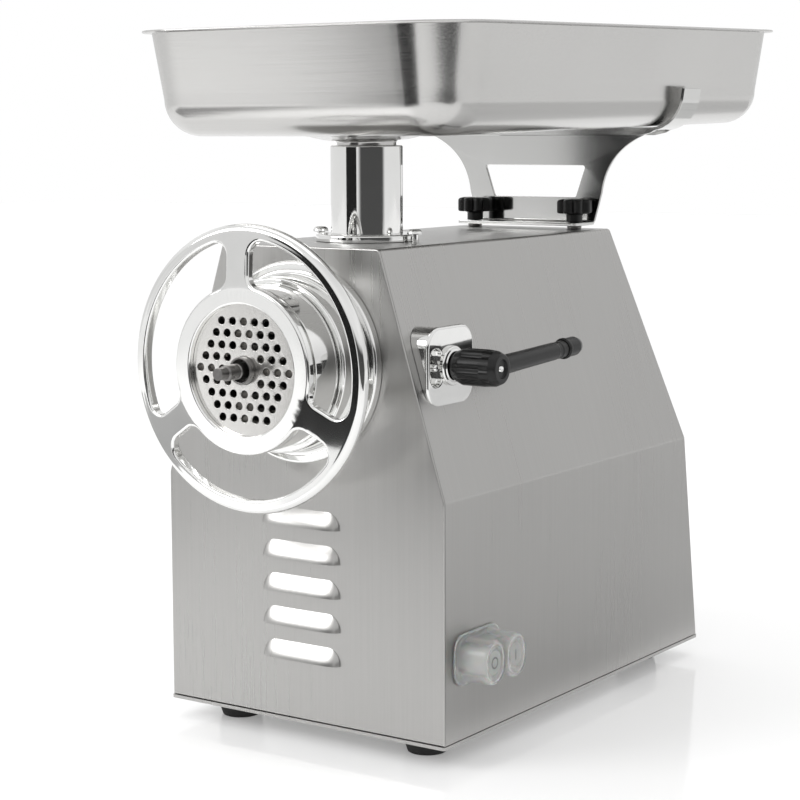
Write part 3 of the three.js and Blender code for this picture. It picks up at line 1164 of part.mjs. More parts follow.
const outputGear = gear(OUTPUT_TEETH, OUTPUT_MODULE, SHORT_ADDENDUM, bottomTurn(OUTPUT_TEETH), AXIS_Z,
  OUTPUT_GEAR_Y, OUTPUT_GEAR_WIDTH, OUTPUT_SHAFT_RADIUS + GAP);
const idlerGear = gear(IDLER_TEETH, INPUT_MODULE, SHORT_ADDENDUM, bottomTurn(IDLER_TEETH), IDLER_Z,
  INPUT_GEAR_Y, INPUT_GEAR_WIDTH, IDLER_SHAFT_RADIUS + GAP);
const idlerPinion = gear(IDLER_PINION_TEETH, OUTPUT_MODULE, TALL_ADDENDUM, 0, IDLER_Z, OUTPUT_GEAR_Y,
  OUTPUT_GEAR_WIDTH);
const motorPinion = gear(MOTOR_PINION_TEETH, INPUT_MODULE, TALL_ADDENDUM, 0, MOTOR_Z, INPUT_GEAR_Y,
  INPUT_GEAR_WIDTH);
const outputShaft = shaft(OUTPUT_SHAFT_RADIUS, AXIS_Z, AUGER_JOINT_Y + GAP, GEARBOX_REAR_Y - 1);
const idlerShaft = shaft(IDLER_SHAFT_RADIUS, IDLER_Z, GEARBOX_FRONT_Y + 1, GEARBOX_REAR_Y - 1);
piece('output_gear', outputGear, gearSteel);
piece('output_shaft', outputShaft, gearSteel);
piece('idler_gear', idlerGear, gearSteel);
piece('idler_pinion_shaft', idlerShaft.add(idlerPinion), gearSteel);

const rearBearingY = GEARBOX_REAR_Y - BEARING_THICKNESS;
piece('output_bearing_front', bearing(OUTPUT_SHAFT_RADIUS, AXIS_Z, GEARBOX_FRONT_Y), darkSteel);
piece('output_bearing_rear', bearing(OUTPUT_SHAFT_RADIUS, AXIS_Z, rearBearingY), darkSteel);
piece('idler_bearing_front', bearing(IDLER_SHAFT_RADIUS, IDLER_Z, GEARBOX_FRONT_Y), darkSteel);
piece('idler_bearing_rear', bearing(IDLER_SHAFT_RADIUS, IDLER_Z, rearBearingY), darkSteel);

// ---------------------------------------------------------------- motor
const coreMiddle = MOTOR_SHELL_Y + MOTOR_SHELL_LENGTH / 2;
const bellBore = motorBore[0];

// The shell is a cup whose front wall holds a bearing. A separate bell closes its rear.
function motorShell() {
  const [front, wall] = [MOTOR_FRONT_Y, MOTOR_FRONT_Y + MOTOR_BELL_DEPTH];
  const back = MOTOR_SHELL_Y + MOTOR_SHELL_LENGTH;
  const inner = MOTOR_RADIUS - MOTOR_SHELL_WALL;
  return alongY([
    [bellBore, front], [MOTOR_RADIUS - 4, front], [MOTOR_RADIUS, front + 4], [MOTOR_RADIUS, back],
    [inner, back], [inner, wall], [bellBore, wall],
  ], 0, MOTOR_Z, SEGMENTS);
}
function rearBell() {
  const [front, back] = [MOTOR_REAR_BELL_Y, MOTOR_REAR_Y];
  return alongY([[bellBore, front], [MOTOR_RADIUS, front], [MOTOR_RADIUS, back - 4], [MOTOR_RADIUS - 4, back],
    [bellBore, back]], 0, MOTOR_Z, SEGMENTS);
}

// Rotor core or stator core, centred in the motor's shell.
function motorCore(inner, outer, length) {
  return alongY(ring(inner, outer, coreMiddle - length / 2, coreMiddle + length / 2), 0, MOTOR_Z);
}

function fan() {
  const y0 = MOTOR_REAR_Y + 3;
  const hub = MOTOR_SHAFT_RADIUS + GAP;
  const disc = alongY(ring(hub, FAN_RADIUS, y0, y0 + FAN_SHEET), 0, MOTOR_Z);
  const sleeve = alongY(ring(hub, hub + FAN_HUB_WALL, y0, y0 + FAN_WIDTH), 0, MOTOR_Z);
  let body = joined(disc, sleeve);
  const bladeRoot = hub + FAN_HUB_WALL / 2;
  const bladeLength = FAN_RADIUS - 2 - bladeRoot;
  for (let i = 0; i < FAN_BLADES; i++) {
    const geometry = new THREE.BoxGeometry(FAN_SHEET, FAN_WIDTH - 1, bladeLength);
    geometry.translate(0, y0 + FAN_WIDTH / 2, bladeRoot + bladeLength / 2);
    geometry.rotateY((2 * Math.PI * i) / FAN_BLADES).translate(0, 0, MOTOR_Z);
    body = body.add(solid(geometry));
  }
  return body;
}

const motorShaft = shaft(MOTOR_SHAFT_RADIUS, MOTOR_Z, INPUT_GEAR_Y - 2, MOTOR_REAR_Y + MOTOR_SHAFT_TAIL);
const windingSpace = MOTOR_RADIUS - MOTOR_SHELL_WALL - GAP;
piece('motor_shell', motorShell(), castIron);
piece('motor_rear_bell', rearBell(), castAluminium);
piece('stator', motorCore(ROTOR_RADIUS + AIR_GAP, windingSpace, STATOR_LENGTH), copper);
piece('rotor', motorCore(MOTOR_SHAFT_RADIUS + GAP, ROTOR_RADIUS, STATOR_LENGTH + 4), darkSteel);
piece('motor_pinion_shaft', motorShaft.add(motorPinion), gearSteel);
piece('motor_bearing_front', bearing(MOTOR_SHAFT_RADIUS, MOTOR_Z, MOTOR_FRONT_Y + 2), darkSteel);
piece('motor_bearing_rear', bearing(MOTOR_SHAFT_RADIUS, MOTOR_Z, MOTOR_REAR_BELL_Y + 2), darkSteel);
piece('cooling_fan', fan(), greyPlastic);

// Cast frame that carries the gearbox and the motor on the base plate.
function driveFrame() {
  const [bottom, reach] = [FLOOR_Z + GAP, MOTOR_SHELL_Y + MOTOR_SHELL_LENGTH];
  const frontY = GEARBOX_FRONT_Y + 4;
  const block = (y0, y1, top) => box(-FRAME_HALF_WIDTH, FRAME_HALF_WIDTH, y0, y1, bottom, top);
  const saddleAt = [MOTOR_SHELL_Y + SADDLE_INSET, reach - SADDLE_INSET - SADDLE_WIDTH];
  const saddles = saddleAt.map((y) => block(y, y + SADDLE_WIDTH, MOTOR_Z - SADDLE_DROP));
  return cut(
    joined(
      block(frontY, reach, bottom + FRAME_THICKNESS),
      block(frontY, GEARBOX_REAR_Y - 4, MOTOR_Z - STAND_DROP),
      ...saddles,
    ),
    alongY(rod(MOTOR_RADIUS + GAP, GEARBOX_REAR_Y, reach + CUT_MARGIN), 0, MOTOR_Z),
    prismY(gearboxOutline(-GEARBOX_WALL - GAP), frontY - CUT_MARGIN, GEARBOX_REAR_Y + 1),
  );
}

piece('drive_frame', driveFrame(), castIron);

// ---------------------------------------------------------------- electrical parts
const EQUIPMENT_Z = FLOOR_Z + GAP;

function runCapacitor() {
  const x = -SIDE_X + CAPACITOR_INSET + CAPACITOR_RADIUS;
  const profile = chamferedRod(CAPACITOR_RADIUS, MOTOR_SHELL_Y, MOTOR_SHELL_Y + CAPACITOR_LENGTH, 2);
  return alongY(profile, x, EQUIPMENT_Z + CAPACITOR_RADIUS);
}

function terminalBlock() {
  const right = SIDE_X - TERMINAL_INSET;
  return box(right - TERMINAL_WIDTH, right, MOTOR_SHELL_Y, MOTOR_SHELL_Y + TERMINAL_DEPTH,
    EQUIPMENT_Z, EQUIPMENT_Z + TERMINAL_HEIGHT);
}

function cableGland() {
  const z = BASE_Z + GLAND_HEIGHT;
  const face = rearAt(z);
  const [seat, tail] = [face + 3, face - GLAND_TAIL_LENGTH];
  const end = seat + GLAND_HEAD_LENGTH;
  const bore = GLAND_RADIUS - GLAND_WALL;
  const head = GLAND_RADIUS + GLAND_WALL;
  return alongY([
    [bore, tail], [GLAND_RADIUS, tail], [GLAND_RADIUS, seat], [head, seat], [head, (seat + end) / 2],
    [GLAND_RADIUS - 1, end], [bore, end],
  ], -GLAND_OFFSET, z, SMALL_SEGMENTS);
}

piece('run_capacitor', runCapacitor(), greyPlastic);
piece('terminal_block', terminalBlock(), brass);
piece('cable_gland', cableGland(), blackPlastic);

// ---------------------------------------------------------------- origin
const bounds = new THREE.Box3().setFromObject(assembly);
const middle = bounds.getCenter(new THREE.Vector3());
assembly.position.set(-middle.x, -middle.y, -bounds.min.z);

export default assembly;
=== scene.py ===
"""Looks of an electric meat grinder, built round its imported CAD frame. Sizes without a unit are in mm."""

import json
from math import acos, asin, atan2, cos, hypot, pi, radians, sin, sqrt, tan

import bmesh
import bpy
import numpy as np
from mathutils import Matrix, Vector
from mathutils.geometry import delaunay_2d_cdt


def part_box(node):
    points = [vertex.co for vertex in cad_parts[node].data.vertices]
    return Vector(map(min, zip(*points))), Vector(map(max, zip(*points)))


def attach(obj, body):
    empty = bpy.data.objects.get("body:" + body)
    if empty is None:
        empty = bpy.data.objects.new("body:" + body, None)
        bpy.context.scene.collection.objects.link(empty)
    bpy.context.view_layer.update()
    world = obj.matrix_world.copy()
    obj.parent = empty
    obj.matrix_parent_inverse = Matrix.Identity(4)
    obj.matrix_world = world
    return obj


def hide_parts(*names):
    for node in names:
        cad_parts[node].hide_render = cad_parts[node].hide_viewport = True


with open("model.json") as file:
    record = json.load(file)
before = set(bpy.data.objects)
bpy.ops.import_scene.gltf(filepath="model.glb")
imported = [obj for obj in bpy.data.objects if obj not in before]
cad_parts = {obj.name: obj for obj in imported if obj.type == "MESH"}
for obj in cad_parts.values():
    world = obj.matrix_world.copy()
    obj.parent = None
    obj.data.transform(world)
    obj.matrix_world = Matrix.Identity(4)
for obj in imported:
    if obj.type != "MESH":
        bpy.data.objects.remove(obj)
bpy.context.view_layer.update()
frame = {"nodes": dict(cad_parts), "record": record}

MM = 0.001
TAU = 2 * pi


def span(node):
    """Lowest and highest corner of a CAD node in mm."""
    lo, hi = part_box(node)
    return lo / MM, hi / MM


def centre(node):
    lo, hi = span(node)
    return (lo + hi) / 2


def placed(name, data):
    """A new object in the scene."""
    made = bpy.data.objects.new(name, data)
    bpy.context.scene.collection.objects.link(made)
    return made


# ---------------------------------------------------------------- camera
CAMERA_PLACE = Vector((0.9168, -1.4104, 0.4600))
CAMERA_YAW, CAMERA_PITCH, CAMERA_ROLL = (radians(a) for a in (34.544, -6.337, -0.236))
CAMERA_LENS = 92.83
CAMERA_SHIFT = (-0.0049, -0.0579)


def make_camera():
    forward = Vector((
        -sin(CAMERA_YAW) * cos(CAMERA_PITCH),
        cos(CAMERA_YAW) * cos(CAMERA_PITCH),
        sin(CAMERA_PITCH),
    ))
    level = Vector((cos(CAMERA_YAW), sin(CAMERA_YAW), 0))
    upright = level.cross(forward)
    right = level * cos(CAMERA_ROLL) + upright * sin(CAMERA_ROLL)
    up = upright * cos(CAMERA_ROLL) - level * sin(CAMERA_ROLL)
    data = bpy.data.cameras.new("camera")
    data.sensor_width, data.lens = 36, CAMERA_LENS
    data.shift_x, data.shift_y = CAMERA_SHIFT
    data.clip_start, data.clip_end = 0.01, 100
    camera = placed("camera", data)
    camera.matrix_world = Matrix.Translation(CAMERA_PLACE) @ Matrix(
        [(right[i], up[i], -forward[i]) for i in range(3)]
    ).to_4x4()
    bpy.context.scene.camera = camera


make_camera()
bpy.context.scene.view_settings.view_transform = "Standard"


# ---------------------------------------------------------------- materials
def map_range(tree, source, span_in, span_out=(0, 1), smooth=False):
    """A node that maps one range of a value to another."""
    out = tree.nodes.new("ShaderNodeMapRange")
    out.interpolation_type = "SMOOTHSTEP" if smooth else "LINEAR"
    for socket, value in zip(("From Min", "From Max", "To Min", "To Max"), (*span_in, *span_out)):
        out.inputs[socket].default_value = value
    tree.links.new(source, out.inputs["Value"])
    return out.outputs["Result"]


def mixed(tree, factor, *colours):
    """A node that mixes two colours, each one a value or another node's output."""
    mix = tree.nodes.new("ShaderNodeMix")
    mix.data_type = "RGBA"
    tree.links.new(factor, mix.inputs["Factor"])
    for socket, colour in zip("AB", colours):
        if isinstance(colour, tuple):
            mix.inputs[socket].default_value = colour
        else:
            tree.links.new(colour, mix.inputs[socket])
    return mix.outputs["Result"]


def material(
    name, colour, metallic, roughness, grain=(400, 400, 400), colour_spread=0.1, rough_spread=0.08,
    bump=0.05, blotch=9, **sockets,
):
    """A procedural finish: a fine grain over soft blotches, driving colour, gloss and relief."""
    made = bpy.data.materials.new(name)
    made.use_nodes = True
    tree = made.node_tree
    nodes, links = tree.nodes, tree.links
    shader = nodes["Principled BSDF"]
    shader.inputs["Metallic"].default_value = metallic
    for socket, value in sockets.items():
        shader.inputs[socket.replace("_", " ")].default_value = value
    place = nodes.new("ShaderNodeTexCoord").outputs["Object"]

    def noise(scale, detail):
        stretch = nodes.new("ShaderNodeMapping")
        stretch.inputs["Scale"].default_value = scale
        links.new(place, stretch.inputs["Vector"])
        texture = nodes.new("ShaderNodeTexNoise")
        texture.inputs["Scale"].default_value = 1
        texture.inputs["Detail"].default_value = detail
        links.new(stretch.outputs["Vector"], texture.inputs["Vector"])
        return texture.outputs["Fac"]

    fine, soft = noise(grain, 3), noise((blotch,) * 3, 2)
    both = nodes.new("ShaderNodeMath")
    both.operation = "ADD"
    links.new(fine, both.inputs[0])
    links.new(soft, both.inputs[1])

    def ranged(low, high):
        return map_range(tree, both.outputs["Value"], (0.6, 1.4), (low, high))

    links.new(ranged(roughness - rough_spread, roughness + rough_spread), shader.inputs["Roughness"])
    shades = [(*(min(1, c * (1 + side * colour_spread)) for c in colour), 1) for side in (-1, 1)]
    links.new(mixed(tree, ranged(0, 1), *shades), shader.inputs["Base Color"])
    relief = nodes.new("ShaderNodeBump")
    relief.inputs["Strength"].default_value = bump
    relief.inputs["Distance"].default_value = 0.0004
    links.new(fine, relief.inputs["Height"])
    links.new(relief.outputs["Normal"], shader.inputs["Normal"])
    return made


UPRIGHT = (620, 2, 9)  # grain that runs up and down, on faces that look forwards
UPRIGHT_SIDE = (2, 620, 9)  # the same on faces that look sideways
ALONG = (9, 700, 700)  # grain that runs from side to side
SHEET_STEEL = (0.45, 0.445, 0.435)
brushed = material("brushed_steel", SHEET_STEEL, 1, 0.3, UPRIGHT, 0.045, 0.05, 0.035, 5)
brushed_side = material("brushed_steel_side", SHEET_STEEL, 1, 0.3, UPRIGHT_SIDE, 0.045, 0.05, 0.03, 5)
bracket_steel = material("bracket_steel", (0.58, 0.58, 0.57), 1, 0.09, (30, 30, 30), 0.03, 0.02, 0.01, 8)
polished = material("polished_steel", (0.8, 0.8, 0.79), 1, 0.06, (60, 60, 60), 0.03, 0.025, 0.02, 14)
satin = material("satin_steel", (0.53, 0.525, 0.515), 1, 0.2, ALONG, 0.06, 0.05, 0.06, 6)
turned = material("turned_steel", (0.7, 0.69, 0.67), 1, 0.2, (500, 20, 500), 0.1, 0.06, 0.06, 20)
dark_steel = material("dark_steel", (0.2, 0.195, 0.19), 1, 0.3, (300, 300, 300), 0.2, 0.1, 0.1, 60)
gear_steel = material("gear_steel", (0.36, 0.35, 0.34), 1, 0.32, (250, 40, 250), 0.15, 0.1, 0.1, 30)
cast_iron = material("cast_iron", (0.09, 0.1, 0.11), 0.3, 0.6, (350, 350, 350), 0.2, 0.1, 0.5, 12)
cast_aluminium = material("cast_aluminium", (0.5, 0.5, 0.5), 1, 0.48, (420, 420, 420), 0.15, 0.1, 0.5, 14)
copper = material("winding_copper", (0.62, 0.27, 0.12), 1, 0.35, (900, 30, 900), 0.25, 0.1, 0.6, 30)
brass = material("terminal_brass", (0.6, 0.42, 0.16), 1, 0.3, (250, 250, 250), 0.15, 0.08, 0.1, 50)
black_plastic = material(
    "black_plastic", (0.007, 0.007, 0.007), 0, 0.34, (900, 900, 900), 0.2, 0.06, 0.12, 40,
    Specular_IOR_Level=0.35,
)
black_rubber = material("black_rubber", (0.014, 0.014, 0.014), 0, 0.7, (700, 700, 700), 0.25, 0.1, 0.4, 40)
white_plastic = material("white_plastic", (0.62, 0.62, 0.6), 0, 0.35, (700, 700, 700), 0.04, 0.05, 0.05, 50)
grey_plastic = material("grey_plastic", (0.28, 0.28, 0.28), 0, 0.45, (700, 700, 700), 0.08, 0.06, 0.1, 40)
mark_paint = material("mark_paint", (0.05, 0.05, 0.05), 0, 0.5, (700, 700, 700), 0.2, 0.06, 0.05, 40)
silicone = material(
    "clear_silicone", (0.93, 0.93, 0.92), 0, 0.22, (260, 260, 260), 0.03, 0.06, 0.05, 40,
    Transmission_Weight=0.82, IOR=1.41, Subsurface_Weight=0.3, Subsurface_Scale=0.004,
)
FINISH = dict(
    brushed_steel=brushed, polished_steel=polished, satin_steel=satin, dark_steel=dark_steel,
    gear_steel=gear_steel, cast_iron=cast_iron, cast_aluminium=cast_aluminium, winding_copper=copper,
    terminal_brass=brass, black_plastic=black_plastic, black_rubber=black_rubber, white_plastic=white_plastic,
    grey_plastic=grey_plastic, clear_silicone=silicone,
)


# ---------------------------------------------------------------- mesh tools
SHARP_ANGLE = 32


def cleaned(mesh, distance=2e-6):
    """Joins corners that meet, and turns the faces outwards."""
    work = bmesh.new()
    work.from_mesh(mesh)
    bmesh.ops.remove_doubles(work, verts=work.verts, dist=distance)
    bmesh.ops.recalc_face_normals(work, faces=work.faces)
    work.to_mesh(mesh)
    work.free()
    return mesh


def mesh_of(name, verts, faces):
    mesh = bpy.data.meshes.new(name)
    mesh.from_pydata([Vector(v) * MM for v in verts], [], faces)
    return mesh


def piece(name, verts, faces, body, slot, *nodes, **looks):
    """A mesh from corners in mm, riding on a body and standing for CAD nodes."""
    return dress(name, mesh_of(name, verts, faces), body, slot, *nodes, **looks)


def dress(name, mesh, body, slot, *nodes, finish=None, smooth=SHARP_ANGLE, weighted=True):
    cleaned(mesh)
    mesh.shade_smooth()
    mesh.set_sharp_from_angle(angle=radians(smooth))
    mesh.materials.clear()
    mesh.materials.append(finish or FINISH[slot])
    made = placed(name, mesh)
    if weighted:
        made.modifiers.new("normals", "WEIGHTED_NORMAL").keep_sharp = True
    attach(made, body)
    if nodes:
        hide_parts(*nodes)
    return made


def turned_piece(node, profile, axis, origin, count, slot, body="housing", finish=None, **form):
    """A CAD node's looks as one turned shape."""
    solid = revolve(profile, axis, origin, count, **form)
    return piece(node + "_visual", *solid, body, slot, node, finish=finish)


def rounded(corners, closed=False, steps=5):
    """Corners (u, v) or (u, v, radius): each one with a radius becomes an arc."""
    out, count = [], len(corners)
    for i, corner in enumerate(corners):
        here = Vector(corner[:2])
        radius = corner[2] if len(corner) > 2 else 0
        if not radius or (not closed and i in (0, count - 1)):
            out.append(tuple(here))
            continue
        a = Vector(corners[i - 1][:2]) - here
        b = Vector(corners[(i + 1) % count][:2]) - here
        half = a.angle(b) / 2
        reach = min(radius / tan(half), a.length * 0.49, b.length * 0.49)
        radius = reach * tan(half)
        a, b = a.normalized(), b.normalized()
        centre = here + (a + b).normalized() * radius / sin(half)
        start, end = here + a * reach - centre, here + b * reach - centre
        first = atan2(start.y, start.x)
        turn = (atan2(end.y, end.x) - first + pi) % TAU - pi
        for k in range(steps + 1):
            angle = first + turn * k / steps
            out.append((centre.x + radius * cos(angle), centre.y + radius * sin(angle)))
    return out


def revolve(profile, axis, origin, count=96, shape=None, closed=False):
    """Corners and faces of a profile of (radius, height) turned about an axis through origin."""
    turn = Vector(axis).to_track_quat("Z", "Y").to_matrix()
    rings = []
    for k, (radius, height) in enumerate(profile):
        ring = []
        for i in range(count):
            angle = TAU * i / count
            r = shape(k, angle, radius, height) if shape else radius
            ring.append(turn @ Vector((r * cos(angle), r * sin(angle), height)) + Vector(origin))
        rings.append(ring)
    return lofted(rings, closed)


def lofted(loops, closed=True):
    """Faces between loops of the same length, joined round if closed."""
    verts = [p for loop in loops for p in loop]
    count, faces = len(loops[0]), []
    for k in range(len(loops) if closed else len(loops) - 1):
        low, high = k * count, (k + 1) % len(loops) * count
        faces += [(low + i, low + (i + 1) % count, high + (i + 1) % count, high + i) for i in range(count)]
    return verts, faces


def bar(loops):
    """Loops joined into a solid, with a flat face at both ends."""
    verts, faces = lofted(loops, closed=False)
    count = len(loops[0])
    return verts, faces + [tuple(range(count)), tuple(range(len(verts) - count, len(verts)))]


def merged(*parts):
    verts, faces = [], []
    for part_verts, part_faces in parts:
        start = len(verts)
        verts += list(part_verts)
        faces += [tuple(start + i for i in face) for face in part_faces]
    return verts, faces


def circle(u, v, radius, count=48, reverse=False):
    angles = (TAU * i / count for i in range(count))
    points = [(u + radius * cos(a), v + radius * sin(a)) for a in angles]
    return points[::-1] if reverse else points


def inset_loop(loop, distance):
    """The loop moved to its left, into the material."""
    if not distance:
        return list(loop)
    out, count = [], len(loop)
    for i, here in enumerate(loop):
        here = Vector(here)
        a = (here - Vector(loop[i - 1])).normalized()
        b = (Vector(loop[(i + 1) % count]) - here).normalized()
        left = Vector((-a.y - b.y, a.x + b.x))
        left.normalize()
        share = max(0.5, left.dot(Vector((-b.y, b.x))))
        out.append(tuple(here + left * distance / share))
    return out


def inside(points, loops):
    """Which points have an odd number of loop edges on one side."""
    points = np.array(points, float).reshape(-1, 2)
    odd = np.zeros(len(points), bool)
    for loop in loops:
        a = np.array(loop, float)
        b = np.roll(a, -1, axis=0)
        for (x0, y0), (x1, y1) in zip(a, b):
            if y0 == y1:
                continue
            crosses = (points[:, 1] >= min(y0, y1)) & (points[:, 1] < max(y0, y1))
            at = x0 + (points[:, 1] - y0) * (x1 - x0) / (y1 - y0)
            odd ^= crosses & (points[:, 0] < at)
    return odd


def cap(loops, extra=()):
    """Flat triangles that fill the loops, and their corners."""
    coords, edges = [], []
    for loop in loops:
        start = len(coords)
        coords += [Vector(p) for p in loop]
        edges += [(start + i, start + (i + 1) % len(loop)) for i in range(len(loop))]
    coords += [Vector(p) for p in extra]
    verts, _, faces, *_ = delaunay_2d_cdt(coords, edges, [], 0, 1e-5)
    middles = [sum((verts[i] for i in f), Vector((0, 0))) / len(f) for f in faces]
    keep = inside([tuple(m) for m in middles], loops)
    return verts, [f for f, k in zip(faces, keep) if k]


def rim_steps(front, back, count=4):
    """Steps (inset, side, drop) round an edge with a rounding of radius front and one of radius back."""
    steps = []
    for k in range(count + 1):
        angle = pi / 2 * k / count
        steps.append((front * (1 - sin(angle)), 0, front * (1 - cos(angle))))
    for k in range(count + 1):
        angle = pi / 2 * (1 - k / count)
        steps.append((back * (1 - sin(angle)), 1, back * (1 - cos(angle))))
    return steps


def skin(loops, place, steps, open_loops=(), extra=()):
    """A flat shape with thickness. Loops have the material on their left and get rounded edges."""
    parts = []
    for loop in loops:
        rings = [[place(u, v, side, drop) for u, v in inset_loop(loop, move)] for move, side, drop in steps]
        parts.append(lofted(rings, closed=False))
    for move, side, drop in (steps[0], steps[-1]):
        outlines = [inset_loop(loop, move) for loop in loops] + [list(loop) for loop in open_loops]
        verts, faces = cap(outlines, extra)
        parts.append(([place(v.x, v.y, side, drop) for v in verts], faces))
    return merged(*parts)


def subtract(target, *cutters):
    """Cuts closed meshes out of a piece and applies the cuts."""
    for verts, faces in cutters:
        cutter = placed("cutter", cleaned(mesh_of("cutter", verts, faces), 1e-6))
        cut = target.modifiers.new("cut", "BOOLEAN")
        cut.operation, cut.solver, cut.object = "DIFFERENCE", "EXACT", cutter
        kept = [m for m in target.modifiers if m.type != "BOOLEAN"]
        shown = [m.show_viewport for m in kept]
        for m in kept:
            m.show_viewport = False
        graph = bpy.context.evaluated_depsgraph_get()
        result = bpy.data.meshes.new_from_object(target.evaluated_get(graph))
        for m, was in zip(kept, shown):
            m.show_viewport = was
        target.modifiers.remove(cut)
        target.data = result
        bpy.data.objects.remove(cutter)
    target.data.shade_smooth()
    target.data.set_sharp_from_angle(angle=radians(SHARP_ANGLE))


def hexagon(angle):
    """How far a hexagon reaches beyond its inscribed circle."""
    return 1 / cos(angle % (TAU / 6) - TAU / 12)


def cylinder(axis, origin, radius, low, high, count=48):
    return revolve([(0, low), (radius, low), (radius, high), (0, high)], axis, origin, count)


X, Y, Z = Vector((1, 0, 0)), Vector((0, 1, 0)), Vector((0, 0, 1))

# ---------------------------------------------------------------- places read from the frame
stud_lo, stud_hi = span("auger_stud")
AXIS_Z = centre("auger_stud").z
HEAD = (0, 0, AXIS_Z)  # a point on the head's axis
plate_lo, plate_hi = span("grinding_plate")
nut_lo, nut_hi = span("ring_nut")
shell_lo, shell_hi = span("housing_shell")
tube_top = span("feed_tube")[1].z
TUBE_Y = centre("feed_tube").y
collar_lo, collar_hi = span("head_collar")
PANEL_Y = collar_hi.y + 0.3  # front face of the front panel
TOP_Z = shell_hi.z
HALF_WIDTH = shell_hi.x
base_lo, base_hi = span("base_plate")
BASE_Z = base_lo.z
SHOULDER_Z = BASE_Z + 179  # where the sides start to lean in
TOP_HALF_WIDTH = 71.5
REAR_Y = base_hi.y - 0.8
REAR_TOP_Y = REAR_Y - 60
REAR_SHOULDER_Y = REAR_Y - 26


def half_width(z):
    return HALF_WIDTH - max(0, z - SHOULDER_Z) * (HALF_WIDTH - TOP_HALF_WIDTH) / (TOP_Z - SHOULDER_Z)


def rear_at(z):
    if z < SHOULDER_Z:
        return REAR_Y + (REAR_SHOULDER_Y - REAR_Y) * (z - BASE_Z) / (SHOULDER_Z - BASE_Z)
    return REAR_SHOULDER_Y + (REAR_TOP_Y - REAR_SHOULDER_Y) * (z - SHOULDER_Z) / (TOP_Z - SHOULDER_Z)


# ---------------------------------------------------------------- housing
BEND = 3.5
SHEET = 1.5
TUBE_RADIUS, TUBE_BORE, SLIP = 27.5, 23.5, 0.1
LOBE_GAP = 28.6  # from button to button
LOCK_HOLE, BUTTON_HOLE, SCREW_HOLE = 8, 10.6, 3.3


def house(inset, bottom, bend):
    """Right side, top and left side of the housing's section, from the bottom round to the bottom."""
    lean = atan2(HALF_WIDTH - TOP_HALF_WIDTH, TOP_Z - SHOULDER_Z)
    side, top = HALF_WIDTH - inset, TOP_Z - inset
    shoulder = SHOULDER_Z - inset * tan(lean / 2)
    crown = TOP_HALF_WIDTH - inset * tan((pi / 2 - lean) / 2)
    half = [(side, bottom), (side, shoulder, bend * 3), (crown, top, bend)]
    return rounded(half + [(-p[0], *p[1:]) for p in half[::-1]], steps=6)


def housing_shell():
    front = shell_lo.y
    sections = [
        [(x, front, z), (x, rear_at(z), z), (u, rear_at(v), v), (u, front, v)]
        for (x, z), (u, v) in zip(house(0, shell_lo.z, BEND), house(SHEET, shell_lo.z, BEND - SHEET))
    ]
    looks = {"finish": brushed_side}
    made = piece("housing_shell_visual", *bar(sections), "housing", "brushed_steel", "housing_shell", **looks)
    cut_low, cut_high = TOP_Z - 20, TOP_Z + 20
    switch = centre("switch_boot")
    cutters = [
        cylinder(Z, (0, TUBE_Y, 0), TUBE_RADIUS + SLIP, cut_low, cut_high, 64),
        cylinder(X, (0, centre("lock_screw").y, AXIS_Z), LOCK_HOLE, HALF_WIDTH / 2, HALF_WIDTH + 13),
    ]
    for side in (-1, 1):
        origin = (0, switch.y + side * LOBE_GAP / 2, switch.z)
        cutters.append(cylinder(X, origin, BUTTON_HOLE, HALF_WIDTH - 17, HALF_WIDTH + 13))
    for name in ("flange_screw_left", "flange_screw_right", "bracket_stud_left", "bracket_stud_right"):
        at = centre(name)
        cutters.append(cylinder(Z, (at.x, at.y, 0), SCREW_HOLE, cut_low, cut_high, 24))
    subtract(made, *cutters)


housing_shell()

LOUVERS, LOUVER_PITCH, LOUVER_LOWEST = 5, 25.4, 48
LOUVER_WIDTH, LOUVER_HEIGHT, LOUVER_RISE = 71, 13, 6
LOUVER_END, LOUVER_WALL = 11, 1.4  # length of a louver's rounded end, and its sheet


def louver_outline(z, count=14):
    """A flat-bottomed hood seen from the front: rounded upper corners. Material is outside it."""
    half = LOUVER_WIDTH / 2
    arc = [
        (half - LOUVER_END * (1 - sin(a)), z + LOUVER_HEIGHT * cos(a))
        for a in (pi / 2 * k / count for k in range(count + 1))
    ]
    return arc + [(-x, v) for x, v in arc[::-1]]


def louver_hood(z):
    """One pressed hood, open downwards, as a sheet with two faces."""
    across, up = 56, 14
    half = LOUVER_WIDTH / 2
    loops = []
    for j in range(up + 1):
        rise = sin(pi / 2 * j / up)
        reach = half - LOUVER_END * (1 - sqrt(max(0, 1 - rise ** 2)))
        outer, inner = [], []
        for i in range(across + 1):
            share = sin(pi / 2 * (2 * i / across - 1))
            swell = (max(0, 1 - abs(share) ** 5)) ** 0.5 * max(0, 1 - rise ** 1.4)
            x, v, y = reach * share, z + LOUVER_HEIGHT * rise, PANEL_Y - LOUVER_RISE * swell
            outer.append((x, y, v))
            inner.append((x * 0.975, y + LOUVER_WALL, v - 1.2 * rise))
        loops.append(outer + inner[::-1])
    verts, faces = lofted(loops, closed=False)
    row = len(loops[0])
    for start in (0, up * row):
        faces += [(start + i, start + i + 1, start + row - 2 - i, start + row - 1 - i) for i in range(across)]
    return verts, faces


